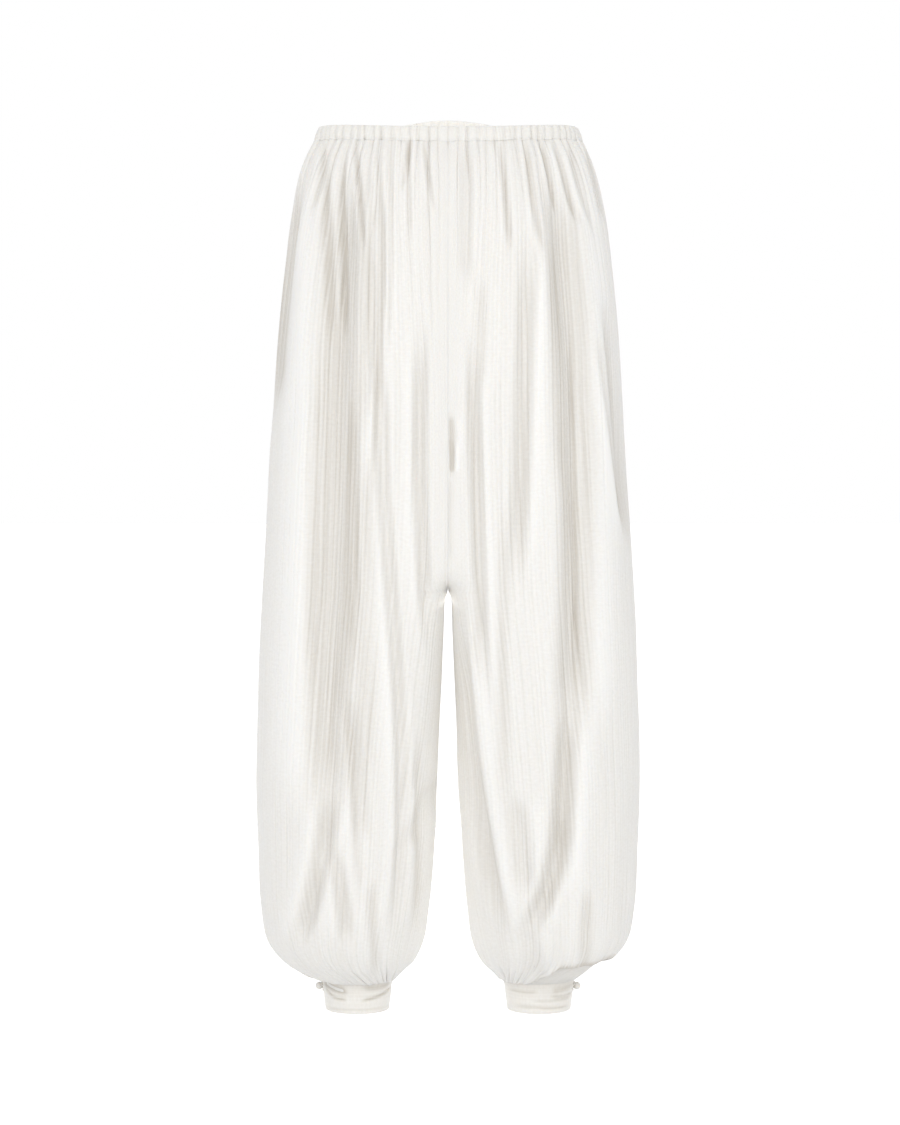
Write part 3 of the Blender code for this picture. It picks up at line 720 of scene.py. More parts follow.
def fold_centre(fold, share):
    """The fold's distance from the centre line, a cubic through its four places."""
    places = (fold.x_top, fold.x_upper, fold.x_lower, fold.x_bottom)
    knots = (0.0, 1.0 / 3.0, 2.0 / 3.0, 1.0)
    centre = 0.0
    for place, knot in zip(places, knots):
        weight = 1.0
        for other in knots:
            if other != knot:
                weight = weight * (share - other) / (knot - other)
        centre = centre + place * weight
    return centre


def near_fold(fold, x, z):
    """How far a fold has faded in at each point, and the point's place across it."""
    share = (fold.top - z) / (fold.top - fold.bottom)
    end = min(FOLD_END_FADE, LONGEST_FADE / (fold.top - fold.bottom))
    fade = smooth_step(share / end) * smooth_step((1.0 - share) / end)
    return fade, (x - fold_centre(fold, np.clip(share, 0.0, 1.0))) / fold.half_width


def drawn_in(panel, grid):
    """How far the folds of a panel draw its cloth in: a valley with a low ridge on each side."""
    x, y, z = np.moveaxis(grid, 2, 0)
    depth = np.zeros_like(x)
    for fold in FOLDS[panel] + CREASES[panel]:
        fade, off_centre = near_fold(fold, x, z)
        valley = (1.0 - FOLD_RISES * off_centre**2) * np.exp(-(off_centre**2) / FOLD_SOFTENS)
        depth = depth + fold.depth * fade * valley
    free_of_centre = smooth_step((x - FOLD_FROM_CENTRE) / FOLD_FREE_OF_CENTRE)
    return depth * free_of_centre * smooth_step(np.abs(y) / FOLD_FREE_OF_SIDE)


def fold_painted_shade(panel, grid):
    """How much shade is painted at each point: 1 in a large fold, more in a sharp crease, and below 0 on a
    ridge, which is a painted highlight.
    """
    x, y, z = np.moveaxis(grid, 2, 0)
    tone = np.zeros_like(x)
    for look in FOLD_LOOKS:
        for fold in look.table[panel]:
            fade, off_centre = near_fold(fold, x, z)
            valley = np.exp(-look.narrows * off_centre**look.steepness)
            ridge = np.exp(-RIDGE_NARROWS * (np.abs(off_centre) - RIDGE_AT) ** 2)
            ridge = ridge * np.where(off_centre > 0.0, look.outer_ridge, look.inner_ridge)
            tone = tone + fold.depth / look.full_depth * fade * (valley - ridge)
    return tone


print(sum(len(table) for table in FOLDS.values()), "large folds")
print(sum(len(table) for table in CREASES.values()), "light creases")

# %% [markdown]
# ## Gathers
# Under the waistband the cloth stands in narrow gathers that open downwards and die out after a
# few centimetres, each at its own height. The same happens in little above the cuffs. A gather is
# a round ridge between two sharp troughs, which is a sine raised to a power below one.

# %% Gathers
FULL_GATHER_PITCH = 0.0030
WAIST_GATHER_HEIGHT = 0.0021
WAIST_GATHER_SHORTEST = 0.030
WAIST_GATHER_LONGEST = 0.150
WAIST_GATHERS_END = -0.330
CUFF_GATHER_HEIGHT = 0.0016
CUFF_GATHER_LENGTH = 0.026
CUFF_SEAM_FLATTENS = 0.4
CUFF_SEAM_WIDTH = 0.003
GATHER_HEIGHTS = (0.45, 1.40)
WAIST_GATHERS_FADE = 0.2
TROUGH_SHARPNESS = 0.70
DRIFT = 0.060
GATHER_SWAY = 0.42
SWAY_GROWS_BY = 0.050
SEAM_GROOVE = 0.00045
SEAM_GROOVE_LENGTH = 0.0028


def drifting(rng, low, high, count):
    """Values that drift slowly down the cloth, in so many lines: [row, line]."""
    knots = np.arange(0.0, down[-1] + DRIFT, DRIFT)
    values = rng.uniform(low, high, (len(knots), count))
    return np.stack([smooth_curve(knots, line, down) for line in values.T], axis=1)


def gather_relief(side):
    """How far each point of a leg stands out on a gather's ridge or in its trough."""
    rng = np.random.default_rng(GATHER_SEED + side)
    count = 2 * COLUMNS + 1
    seams = [0, COLUMNS, count - 1]
    height = rng.uniform(*GATHER_HEIGHTS, count)
    length = rng.uniform(WAIST_GATHER_SHORTEST, WAIST_GATHER_LONGEST, count)
    sway = drifting(rng, -GATHER_SWAY, GATHER_SWAY, count)
    height[seams] = 1.0
    length[seams] = WAIST_GATHER_SHORTEST
    sway[:, seams] = 0.0
    height, length, sway = (between_lines(v, leg_gathers) for v in (height, length, sway))
    sway = sway * smooth_step(down / SWAY_GROWS_BY)[:, None]
    ridge = 2.0 * np.abs(np.sin(math.pi * (leg_gathers + sway) / 2.0)) ** TROUGH_SHARPNESS - 1.0
    waist = np.exp((row_z - row_z[0]) / length)
    waist = waist * smooth_step((row_z - WAIST_GATHERS_END) / WAIST_GATHERS_FADE)
    near_seam = smooth_step(1.0 + (row_z[-1] - row_z) / CUFF_SEAM_WIDTH)
    cuff = np.exp((row_z[-1] - row_z) / CUFF_GATHER_LENGTH)
    cuff = cuff * (1.0 - (1.0 - CUFF_SEAM_FLATTENS) * near_seam)
    return ridge * height * (WAIST_GATHER_HEIGHT * waist + CUFF_GATHER_HEIGHT * cuff)


# %% [markdown]
# ## Pressed pleats
# The fine pleats are what makes this silk plisse: sharp lines about 4.5 mm apart, every second
# one deeper, none quite straight or even. Each line has its own depth, which drifts down the leg,
# and wanders a little to both sides. Where gathers squeeze the cloth its pleats flatten.

# %% Pressed pleats
PLEAT_SEED = 31
PLEAT_DEPTH = 0.00070
PLEAT_PITCH = 0.0091
PLEAT_SHARPNESS = 1.5
MINOR_PLEAT = 0.62
DEPTH_DRIFTS = (0.5, 1.3)
DEPTH_DIFFERS = (0.5, 1.25)
MOST_ROOM = 1.1
PLEAT_WANDER = 0.16
SOFT_WAVES = 0.0008


def pressed_pleats(side, pitch):
    """How deep each point of a leg lies in a pressed edge, and how near it is to one."""
    rng = np.random.default_rng(PLEAT_SEED + side)
    count = 4 * COLUMNS + 1
    depth = drifting(rng, *DEPTH_DRIFTS, count) * rng.uniform(*DEPTH_DIFFERS, count)
    depth[:, 1::2] *= MINOR_PLEAT
    wander = drifting(rng, -PLEAT_WANDER, PLEAT_WANDER, count)
    wander[:, [0, 2 * COLUMNS, -1]] = 0.0
    place = 2.0 * leg_columns
    moved = np.clip(place + between_lines(wander, place), 0.0, count - 1.0)
    line = np.rint(moved).astype(int)
    edge = (1.0 - 2.0 * np.abs(moved - line)) ** PLEAT_SHARPNESS
    edge = edge * np.take_along_axis(depth, line, axis=1)
    room = np.minimum(pitch / PLEAT_PITCH, MOST_ROOM)
    return edge * PLEAT_DEPTH * room, edge * room


def soft_waves(side):
    """The slight unevenness of cloth that was worn."""
    rng = np.random.default_rng(PLEAT_SEED + 5 + side)
    count = COLUMNS + 1
    waves = drifting(rng, -SOFT_WAVES, SOFT_WAVES, count)
    waves[:, [0, COLUMNS // 2, -1]] = 0.0
    return between_lines(waves, leg_columns / 2.0)


# %% [markdown]
# ## The slit over the cuff
# The side seam is left open for the last few centimetres, so that the cuff can be unbuttoned. There
# the front panel's hem has slipped up in an arch, a small one on the right leg and a wide one on
# the left, and an underlap of the back panel shows below it. The front panel's rows are drawn up
# towards the knee near the slit, and a short strip of the plain leg lies under them.

# %% The slit
HEM_LIFT = {1: 0.054, -1: 0.024}
HEM_LIFTED_TO = {1: 0.45, -1: 0.19}
HEM_DOWN_FROM = {1: 0.53, -1: 0.28}
HEM_LOWER_AT_SIDE = 0.46
HEM_LOWER_WITHIN = 0.11
HEM_FLATTENS = 0.7
SIDE_WITHIN = 0.16
HEM_REACH = 0.125
HEM_STANDS_OFF = 0.0034
HEM_LINE = 0.0055
HEM_LINE_SHADOW = 1.8
HEM_SHADOW = 0.0120
CORNER_RISE = {1: 0.0060, -1: 0.0015}
CORNER_FROM_X = 0.147
CORNER_OVER_X = 0.030
CORNER_FROM_Z = -0.860
CORNER_OVER_Z = 0.070
from_side = np.abs(leg_columns / COLUMNS - 1.0)


def hem_lift(side):
    """How far the hem has slipped up at each column of the front, and by what share in each row."""
    spread = HEM_DOWN_FROM[side] - HEM_LIFTED_TO[side]
    lift = 1.0 - smooth_step((from_side - HEM_LIFTED_TO[side]) / spread)
    lift *= 1.0 - HEM_LOWER_AT_SIDE * np.exp(-((from_side / HEM_LOWER_WITHIN) ** 2))
    return lift[None, : ACROSS + 1] * smooth_step(1.0 - (down[-1] - down) / HEM_REACH)[:, None]


def with_corner(side):
    """The plain leg of one side, with its outer lower corner raised as far as that side's is."""
    grid = leg_grid.copy()
    outer = smooth_step((grid[:, :, 0] - CORNER_FROM_X) / CORNER_OVER_X)
    lower = smooth_step((CORNER_FROM_Z - grid[:, :, 2]) / CORNER_OVER_Z)
    grid[:, :, 2] += CORNER_RISE[side] * outer * lower
    return grid


def drawn_up(values, lift):
    """Values on a front panel's grid, taken higher up where its hem has slipped."""
    moved = np.empty_like(values)
    for column in range(values.shape[1]):
        wanted = down - lift[:, column]
        for axis in range(values.shape[2]):
            moved[:, column, axis] = np.interp(wanted, down, values[:, column, axis])
    return moved


# %% [markdown]
# ## From grids to cloth
# Silk has two faces and an edge all round. The outer face carries every pleat. The inner face is
# seen only through the openings, so it takes every sixth column and every second row, and the
# edges join the two with faces that have more corners on their outer side.

# %% From grids to cloth
INNER_COLUMNS = 6
INNER_ROWS = 2
SHARP_EDGE = math.radians(68.0)
SIDE_WORD = {1: "left", -1: "right"}


def quads(index):
    """Four-cornered faces on a grid of point numbers."""
    corners = [index[:-1, :-1], index[1:, :-1], index[1:, 1:], index[:-1, 1:]]
    return np.stack(corners, axis=-1).reshape(-1, 4).tolist()


def turned_over(faces):
    """The same faces, seen from their other side."""
    return [face[::-1] for face in faces]


def edge_faces(outer, inner, step):
    """Faces along one edge of the cloth, between its finer outer and coarser inner line."""
    faces = []
    for i in range(len(inner) - 1):
        fine = outer[i * step : i * step + step + 1]
        faces.append([*fine.tolist(), int(inner[i + 1]), int(inner[i])])
    return faces


def cloth_faces(rows, count):
    """All faces of a cloth with a fine outer and a coarse inner grid."""
    outer = numbered((rows, count))
    coarse = ((rows - 1) // INNER_ROWS + 1, (count - 1) // INNER_COLUMNS + 1)
    inner = rows * count + numbered(coarse)
    faces = quads(outer)
    faces += turned_over(quads(inner))
    faces += edge_faces(outer[0], inner[0], INNER_COLUMNS)
    faces += edge_faces(outer[-1, ::-1], inner[-1, ::-1], INNER_COLUMNS)
    faces += edge_faces(outer[:, -1], inner[:, -1], INNER_ROWS)
    faces += edge_faces(outer[::-1, 0], inner[::-1, 0], INNER_ROWS)
    return faces


def facing_out(side, faces):
    """The faces as they are on the left side, or turned over on the mirrored right side."""
    return faces if side > 0 else turned_over(faces)


def add_piece(name, points, faces, finish, place=None, crease=None, valley=None):
    """A named mesh object with its finish and its cloth coordinates."""
    points = np.asarray(points).reshape(-1, 3)
    mesh = bpy.data.meshes.new(name)
    mesh.from_pydata(points.tolist(), [], faces)
    mesh.shade_smooth()
    mesh.set_sharp_from_angle(angle=SHARP_EDGE)
    mesh.materials.append(finish.material)
    place = points if place is None else place
    marks = [("cloth_place", "FLOAT_VECTOR", "vector", place)]
    marks += [("crease", "FLOAT", "value", crease), ("valley", "FLOAT", "value", valley)]
    for label, kind, part, values in marks:
        if values is not None:
            mark = mesh.attributes.new(label, kind, "POINT")
            mark.data.foreach_set(part, np.asarray(values, dtype=np.float32).ravel())
    return add_object(name, mesh)


def triangles(obj):
    obj.data.calc_loop_triangles()
    return len(obj.data.loop_triangles)


def cloth_area(obj):
    """The area of one side of a cloth, as its mesh has two."""
    return round(sum(face.area for face in obj.data.polygons) / 2.0, 5)


def add_cloth(name, side, walls, across, rows, crease, valley):
    """A piece of pleated silk from its outer and its coarser inner points."""
    outer, inner = walls
    place = flat_places(across[None], rows[:, None])
    points, places = (
        np.concatenate([fine.reshape(-1, 3), coarse.reshape(-1, 3)])
        for fine, coarse in (walls, (place, place[::INNER_ROWS, ::INNER_COLUMNS]))
    )
    no_marks = np.zeros(inner.shape[0] * inner.shape[1])
    marks = [np.concatenate([mark.ravel(), no_marks]) for mark in (crease, valley)]
    faces = facing_out(side, cloth_faces(*outer.shape[:2]))
    piece = add_piece(name, points, faces, pleated_silk, places, *marks)
    print(name, triangles(piece), "triangles,", cloth_area(piece), "m2")
    return piece


# %% [markdown]
# ## The four panels
# Each leg is cut as a front and a back panel. A panel's points are those of the plain leg, moved
# out by its gathers and in by its folds and pleats. Along the seams the cloth is drawn in a
# little more, where the stitches pull it.

# %% The four panels
LEG_CLOTH = 0.0011
SEAM_WIDTH = 0.0022
SEAM_PULL = 0.00012
SEAM_CLOSES = 0.00011
SEAM_CLOSES_WITHIN = 0.0030
GATHER_TROUGH_SHADE = 0.80
SLACK_ON_RIDGES = 0.65
PLAIN_PLEATS = 0.75
MORE_PLEATS_IN_FOLD = 0.55
PLAIN_EDGES = 0.60
MORE_EDGE_SHADE_IN_FOLD = 1.00
LEAST_CROWDED = -0.3


def seam_pull(grid):
    """How far the two side edges of a panel are pulled in by their seams."""
    step = np.linalg.norm(np.diff(grid, axis=1), axis=2)
    along = np.concatenate([np.zeros((len(grid), 1)), np.cumsum(step, axis=1)], axis=1)
    near = np.minimum(along, along[:, -1:] - along)
    return SEAM_PULL * np.exp(-((near / SEAM_WIDTH) ** 2))


def waist_pinch(relief):
    """How tight the waist seam holds the cloth: tight in a trough, loose on a ridge."""
    return 1.0 - SLACK_ON_RIDGES * np.clip(relief / WAIST_GATHER_HEIGHT, -1.0, 1.0)


def deepest_near(values):
    """The largest value within one coarse step of each point."""
    edge = ((INNER_ROWS, INNER_ROWS), (INNER_COLUMNS, INNER_COLUMNS))
    window = (2 * INNER_ROWS + 1, 2 * INNER_COLUMNS + 1)
    near = np.lib.stride_tricks.sliding_window_view(np.pad(values, edge, mode="edge"), window)
    return near.max(axis=(2, 3))


def panel_walls(panel, side, grid, normal, relief, pleats, waves):
    """The outer points of one panel, and the coarser inner ones."""
    groove = SEAM_GROOVE * np.exp(-((down / SEAM_GROOVE_LENGTH) ** 2))[:, None]
    groove = groove * waist_pinch(relief[:1])
    folded = drawn_in(panel, grid)
    moved = relief + waves - folded - seam_pull(grid) - groove
    soft = grid + normal * moved[:, :, None]
    facing = outward(np.gradient(soft, axis=0), np.gradient(soft, axis=1))
    facing[:, [0, -1]] = normal[:, [0, -1]]
    outer = soft - facing * pleats[:, :, None]
    inner = soft - facing * (LEG_CLOTH + PLEAT_DEPTH)
    inner = inner - normal * (deepest_near(folded) - folded)[:, :, None]
    inner = inner[::INNER_ROWS, ::INNER_COLUMNS]
    for wall in (outer, inner):
        wall[:, :, 0] -= SEAM_CLOSES * np.exp(-((wall[:, :, 0] / SEAM_CLOSES_WITHIN) ** 2))
        wall[:, :, 0] *= side
    return outer, inner


def valley_of(panel, grid, relief):
    """How much shade is painted at each point, in a fold or in a gather's trough: 1 in a deep fold, below
    0 on a ridge, where it is a painted highlight.
    """
    gathers = GATHER_TROUGH_SHADE * np.clip(-relief / WAIST_GATHER_HEIGHT, 0.0, 1.0)
    return fold_painted_shade(panel, grid) + gathers


def build_panel(half, side, grid, normal, relief, pleats, edges, waves, width_from):
    panel = f"{half}_{SIDE_WORD[side]}"
    valley = valley_of(panel, grid, relief)
    # The front panel also gets the painted shadow line along its raised hem
    if half == "front":
        valley = valley + hem_line_shadow[side]
    crowded = np.clip(valley, LEAST_CROWDED, 1.0)
    pleats = pleats * (PLAIN_PLEATS + MORE_PLEATS_IN_FOLD * crowded)
    # Pressed edges are painted darker still in a fold, as painted shade
    edges = edges * (PLAIN_EDGES + MORE_EDGE_SHADE_IN_FOLD * crowded)
    walls = panel_walls(panel, side, grid, normal, relief, pleats, waves)
    across = (width_from + columns) * PLEAT_PITCH
    return add_cloth(f"{panel}_panel", side, walls, across, down, edges, valley)


# %% The underlaps
UNDERLAP_LENGTH = 0.080
UNDERLAP_REACH = 0.06
UNDERLAP_CLOTH = 0.0009
UNDERLAP_DEPTH = 0.0036
NEAR_CUFF = 0.010
LESS_NEAR_CUFF = 0.25
LEFT_AT_SIDE = 0.35
UNDERLAP_PLEATS = 1.8
UNDERLAP_GATHERS = 0.5
UNDERLAP_EDGE_SHADE = 2.5
UNDERLAP_SHADOW = 0.35


def build_underlap(side, cloth_grid, relief, pleats, edges):
    """The strip of the back panel that lies under the front panel's raised hem."""
    count = int((HEM_DOWN_FROM[side] + UNDERLAP_REACH) * COLUMNS) * STEPS
    first = len(down) - 1 - int(np.sum(down > down[-1] - UNDERLAP_LENGTH)) // 2 * 2
    strip = (slice(first, None), slice(ACROSS - count, ACROSS + 1))
    rows = down[first:]
    near_cuff = smooth_step(1.0 - (down[-1] - rows) / NEAR_CUFF)[:, None]
    tucked = LEFT_AT_SIDE + (1.0 - LEFT_AT_SIDE) * smooth_step(from_side[strip[1]] / SIDE_WITHIN)
    inset = UNDERLAP_DEPTH * (1.0 - LESS_NEAR_CUFF * near_cuff) * tucked
    inset = inset + UNDERLAP_PLEATS * pleats[strip] - UNDERLAP_GATHERS * relief[strip]
    outer = cloth_grid[strip] - leg_out[strip] * inset[:, :, None]
    inner = (outer - leg_out[strip] * UNDERLAP_CLOTH)[::INNER_ROWS, ::INNER_COLUMNS]
    mirror = np.array([side, 1.0, 1.0])
    # A painted shadow under the raised hem that fades downwards, a painted base shade over the whole
    # strip, and its pressed edges painted darker
    below_hem = rows - down[-1] + HEM_LIFT[side]
    shadow = UNDERLAP_SHADOW + np.where(below_hem < 0.0, 1.0, np.exp(-below_hem / HEM_SHADOW))
    shadow = np.repeat(shadow, outer.shape[1])
    across = leg_columns[strip[1]] * PLEAT_PITCH
    walls = (outer * mirror, inner * mirror)
    name = f"underlap_{SIDE_WORD[side]}"
    return add_cloth(name, side, walls, across, rows, UNDERLAP_EDGE_SHADE * edges[strip], shadow)


# %% Both legs
FRONT = slice(0, ACROSS + 1)
BACK = slice(ACROSS, None)
underlaps = {}
hem_line_shadow = {}
waist_edges = {}
panels = {}
for side in SIDE_WORD:
    step = np.linalg.norm(np.diff(leg_grid, axis=1), axis=2) * STEPS
    pitch = np.concatenate([step, step[:, -1:]], axis=1)
    relief = gather_relief(side) * np.clip(pitch / FULL_GATHER_PITCH, 0.0, 1.0)
    pleats, edges = pressed_pleats(side, pitch)
    waves = soft_waves(side)
    lift = hem_lift(side)
    cloth_grid = with_corner(side)
    front_grid = drawn_up(cloth_grid[:, FRONT], lift * HEM_LIFT[side])
    front_out = drawn_up(leg_out[:, FRONT], lift * HEM_LIFT[side])
    waves[:, FRONT] += lift * HEM_STANDS_OFF * smooth_step(from_side[FRONT] / SIDE_WITHIN)
    relief[:, FRONT] *= 1.0 - HEM_FLATTENS * lift
    # A painted shadow line along the edge of the raised hem
    hem_line_shadow[side] = HEM_LINE_SHADOW * lift * np.exp(-(((down[-1] - down) / HEM_LINE) ** 2))[:, None]
    parts = {
        "front": (front_grid, front_out, FRONT, 0.0),
        "back": (cloth_grid[:, BACK], leg_out[:, BACK], BACK, float(COLUMNS)),
    }
    for half, (grid, normal, part, width_from) in parts.items():
        shape = (relief[:, part], pleats[:, part], edges[:, part], waves[:, part])
        piece = build_panel(half, side, grid, normal, *shape, width_from)
        panels[piece.name] = piece
    waist_edges[side] = (leg_grid[0], leg_out[0], relief[0], pleats[0], edges[0], seam_wave)
    underlaps[side] = build_underlap(side, cloth_grid, relief, pleats, edges)

# %% [markdown]
# ## The waistband
# The waistband is a casing: a strip of the same silk folded over an elastic, which pulls it into
# puckers. It could be a plain ring with a bump map, but its puckers show in the outline. So the
# ring stands on the same gathers as the panels, bulges a little over the elastic, and its
# top edge is a round fold.

# %% The waistband
BAND_CLOTH = 0.0026
BAND_HEIGHT = 0.0160
BAND_TOP_SCALE = 0.960
BAND_BULGE = 0.0010
BAND_STEP = 2
BAND_ROWS = 12
BAND_FOLD_FROM = 0.93
BAND_FOLD_ROWS = 4
BAND_INNER_ROWS = 4
BAND_ROW_PLACE = 0.0015
PUCKER_EASES = 0.10
PUCKER_SLANT = 5.0
PUCKER_TROUGH_SHADE = 0.60
BAND_GROOVE = 0.00035
BAND_GROOVE_LENGTH = 0.0022
INNER_FLATNESS = 0.75


def round_the_waist(column):
    """One value of both legs' waist edges, as one ring that starts at the front centre."""
    left = waist_edges[1][column]
    right = waist_edges[-1][column].copy()
    if left.ndim == 2:
        right[:, 0] *= -1.0
    return np.concatenate([left[:-1], right[:0:-1]])[::BAND_STEP]


def folded_band(rows, fold_from, fold_rows, inner_rows, cloth):
    """Up a band's outer face, round its folded edge and back: shares of its height, and insets."""
    profile = [(share, 0.0) for share in np.linspace(0.0, fold_from, rows)]
    for turn in np.linspace(0.0, math.pi, fold_rows + 2)[1:-1]:
        share = fold_from + (1.0 - fold_from) * math.sin(turn)
        profile.append((share, cloth * (1.0 - math.cos(turn)) / 2.0))
    return profile + [(share, cloth) for share in np.linspace(fold_from, 0.0, inner_rows)]


band_seam, band_out, band_relief, band_pleats, band_edges, band_wave = map(round_the_waist, range(6))
band_out[:, 2] = 0.0
band_out = unit(band_out)
band_count = len(band_seam)


def slanted(values, share):
    """Values round the waist at a share of the band's height, where its puckers lean outwards."""
    place = np.arange(band_count)
    lean = PUCKER_SLANT * share * np.sin(2.0 * math.pi * place / band_count)
    return np.interp(place - lean, place, values, period=band_count)


def band_ring(share, inset):
    """One ring of the waistband, at a share of its height and so far inside its outer face."""
    scale = 1.0 + (BAND_TOP_SCALE - 1.0) * share
    swell = math.sin(math.pi * min(share, 1.0))
    groove = BAND_GROOVE * math.exp(-((share * BAND_HEIGHT / BAND_GROOVE_LENGTH) ** 2))
    puckers = slanted(band_relief, share) * (1.0 - PUCKER_EASES * swell)
    flat = INNER_FLATNESS * min(inset / BAND_CLOTH, 1.0)
    puckers = puckers * (1.0 - flat) + np.min(band_relief) * flat
    out = puckers + BAND_BULGE * swell - groove * waist_pinch(band_relief) - inset
    if inset == 0.0:
        out = out - band_pleats
    ring = band_seam * np.array([scale, scale, 1.0]) + band_out * out[:, None]
    ring[:, 2] = band_seam[:, 2] + (BAND_HEIGHT - band_wave) * share
    return ring


band_profile = folded_band(BAND_ROWS, BAND_FOLD_FROM, BAND_FOLD_ROWS, BAND_INNER_ROWS, BAND_CLOTH)
band_rings = np.array([band_ring(share, inset) for share, inset in band_profile])
band_index = numbered(band_rings.shape)
band_index = np.concatenate([band_index, band_index[:1]], axis=0)
band_index = np.concatenate([band_index, band_index[:, :1]], axis=1)
band_across = np.arange(band_count) * BAND_STEP / STEPS * PLEAT_PITCH
band_place = flat_places(band_across[None], np.arange(len(band_profile))[:, None] * BAND_ROW_PLACE)
# Painted shade: the pressed edges and the puckers' troughs are painted darker
band_crease = np.broadcast_to(band_edges, band_rings.shape[:2])
band_trough = PUCKER_TROUGH_SHADE * np.clip(-band_relief / WAIST_GATHER_HEIGHT, 0.0, 1.0)
band_valley = [slanted(band_trough, share) for share, _ in band_profile]
band_faces = turned_over(quads(band_index))
band_marks = (band_place, band_crease, band_valley)
waistband = add_piece("waistband_casing", band_rings, band_faces, waistband_silk, *band_marks)
print("waistband:", triangles(waistband), "triangles,", cloth_area(waistband), "m2")

# %% [markdown]
# ## The casing stitches
# One row of machine stitches holds the casing, just above the seam. Each stitch is a short grain
# of thread that lies across the puckers. A row of separate grains catches the light as thread
# does, which a drawn line would not.

# %% The casing stitches
STITCH_SPACING = 0.0027
STITCH_LENGTH = 0.0019
STITCH_WIDTH = 0.00042
STITCH_ROW = 0.13
STITCH_SIDES = 6
STITCH_RINGS = 3
STITCH_LIES = 0.25


def ball(poles, rings, around, spot):
    """The points and faces of a ball, where spot gives a ring's point from its turn and angle."""
    points = [poles[0]]
    for ring in range(1, rings + 1):
        turn = math.pi * ring / (rings + 1)
        points += [spot(turn, 2.0 * math.pi * i / around) for i in range(around)]
    points.append(poles[1])
    last = len(points) - 1
    end = last - around
    faces = []
    for i in range(around):
        after = (i + 1) % around
        faces.append([0, 1 + after, 1 + i])
        for a in range(1, end, around):
            faces.append([a + i, a + after, a + around + after, a + around + i])
        faces.append([end + i, end + after, last])
    return np.array(points), faces


def on_grain(turn, angle):
    """A point of a grain that lies along x, one unit long and two wide."""
    return -0.5 * math.cos(turn), math.sin(turn) * math.cos(angle), math.sin(turn) * math.sin(angle)


def sew(name, line, out, finish):
    """A row of stitches along a closed line, lying on a surface that faces out."""
    line = np.concatenate([line, line[:1]])
    out = np.concatenate([out, out[:1]])
    length = run_of(np.linalg.norm(np.diff(line, axis=0), axis=1))
    count = int(length[-1] / STITCH_SPACING)
    ends = ((-0.5, 0.0, 0.0), (0.5, 0.0, 0.0))
    shape, shape_faces = ball(ends, STITCH_RINGS, STITCH_SIDES, on_grain)

    def at(values, place):
        return np.array([np.interp(place, length, values[:, i]) for i in range(3)])

    points = []
    faces = []
    for place in (np.arange(count) + 0.5) * length[-1] / count:
        along = unit(at(line, place + STITCH_LENGTH / 2.0) - at(line, place - STITCH_LENGTH / 2.0))
        over = unit(np.cross(along, at(out, place)))
        lift = np.cross(over, along)
        grain = shape[:, :1] * along * STITCH_LENGTH
        grain = grain + (shape[:, 1:2] * lift + shape[:, 2:] * over) * STITCH_WIDTH / 2.0
        faces += [[len(points) + i for i in face] for face in shape_faces]
        points += list(at(line, place) + grain)
    return add_piece(name, points, faces, finish)


stitch_line = band_ring(STITCH_ROW, 0.0) + band_out * STITCH_WIDTH * STITCH_LIES
casing_stitches = sew("casing_stitches", stitch_line, band_out, waistband_silk)
print("stitches:", triangles(casing_stitches), "triangles")

# %% [markdown]
# ## The cuffs
# A cuff is a straight band of satin, a little narrower at the hem, that ends at the slit on the
# outer side. It was tied in by hand, so it is creased: the right one by two slack folds that cross
# in front, the left one by fine level lines. The creases are in tables, as the folds of the legs
# are, with the angles in degrees where they start and end, and in millimetres their distance below
# the cuff's top at four angles, their depth and half their width. Angle 0 is the slit, 90 the
# back, 180 the inner side and 270 the front.

# %% The cuffs' creases
CuffCrease = namedtuple("CuffCrease", "start end d1 d2 d3 d4 depth half_width")
CUFF_CREASES = {
    -1: [
        (188, 266, 10.5, 17.2, 21.2, 24.5, 2.1, 1.6),
        (284, 340, 22, 21.8, 18, 8.5, 1.7, 1.7),
        (282, 345, 13.2, 11.8, 8.8, 6, 2.6, 3.4),
        (200, 262, 5, 9, 10, 9, 1.2, 3),
        (20, 130, 9, 16, 20, 18, 2, 2.2),
        (70, 190, 23, 24, 18, 11, 1.8, 1.8),
        (170, 350, 34.5, 34.2, 34.2, 34.5, 0.8, 1),
        (10, 185, 34.5, 34.2, 34.2, 34.5, 0.8, 1),
    ],
    1: [
        (286, 348, 18.4, 20, 19.6, 17, 1.7, 1.4),
        (250, 345, 24.8, 24, 23.6, 21.5, 1.2, 1.3),
        (214, 340, 30.8, 30.8, 31.8, 31, 1.3, 1.3),
        (286, 348, 14, 12.2, 9.8, 6.6, 1.3, 3.4),
        (206, 270, 12, 13.5, 14, 13, 1, 1.8),
        (15, 120, 12, 16, 17, 16, 1.7, 1.8),
        (60, 185, 24, 25, 23, 22, 1.4, 1.5),
        (15, 200, 33, 32.5, 32, 31.2, 1, 1.2),
    ],
}

# %% The cuffs
CUFF_X = 0.1022
CUFF_TOP_Z = -0.9495
CUFF_HEIGHT = 0.0382
CUFF_TOP_RADIUS = 0.0400
CUFF_BOTTOM_RADIUS = 0.0354
CUFF_CLOTH = 0.0022
CUFF_SLIT = 0.0012
CUFF_AROUND = 240
CUFF_ROWS = 34
CUFF_HEM_ROWS = 4
CUFF_INNER_ROWS = 4
CUFF_FOLD_FROM = 0.97
CUFF_STANDS_OFF = 0.0004
CREASE_END_FADE = 0.22
CREASE_IS_SOFT_ABOVE = 0.4
CREASE_IS_SHARP_BELOW = 1.6
CUFF_CREASE_FULL_SHADE = 0.0013
LEG_SHADOW = 1.6
LEG_SHADOW_FADES = 0.15


def cuff_radius(z):
    share = (CUFF_TOP_Z - z) / CUFF_HEIGHT
    return CUFF_TOP_RADIUS + (CUFF_BOTTOM_RADIUS - CUFF_TOP_RADIUS) * share


def on_cuff(side, along, z, lift):
    """A point a way along the cuff, forwards to back from its slit, and lifted off its surface."""
    angle = along / cuff_radius(z)
    reach = cuff_radius(z) + lift
    return side * (CUFF_X + reach * math.cos(angle)), reach * math.sin(angle), z


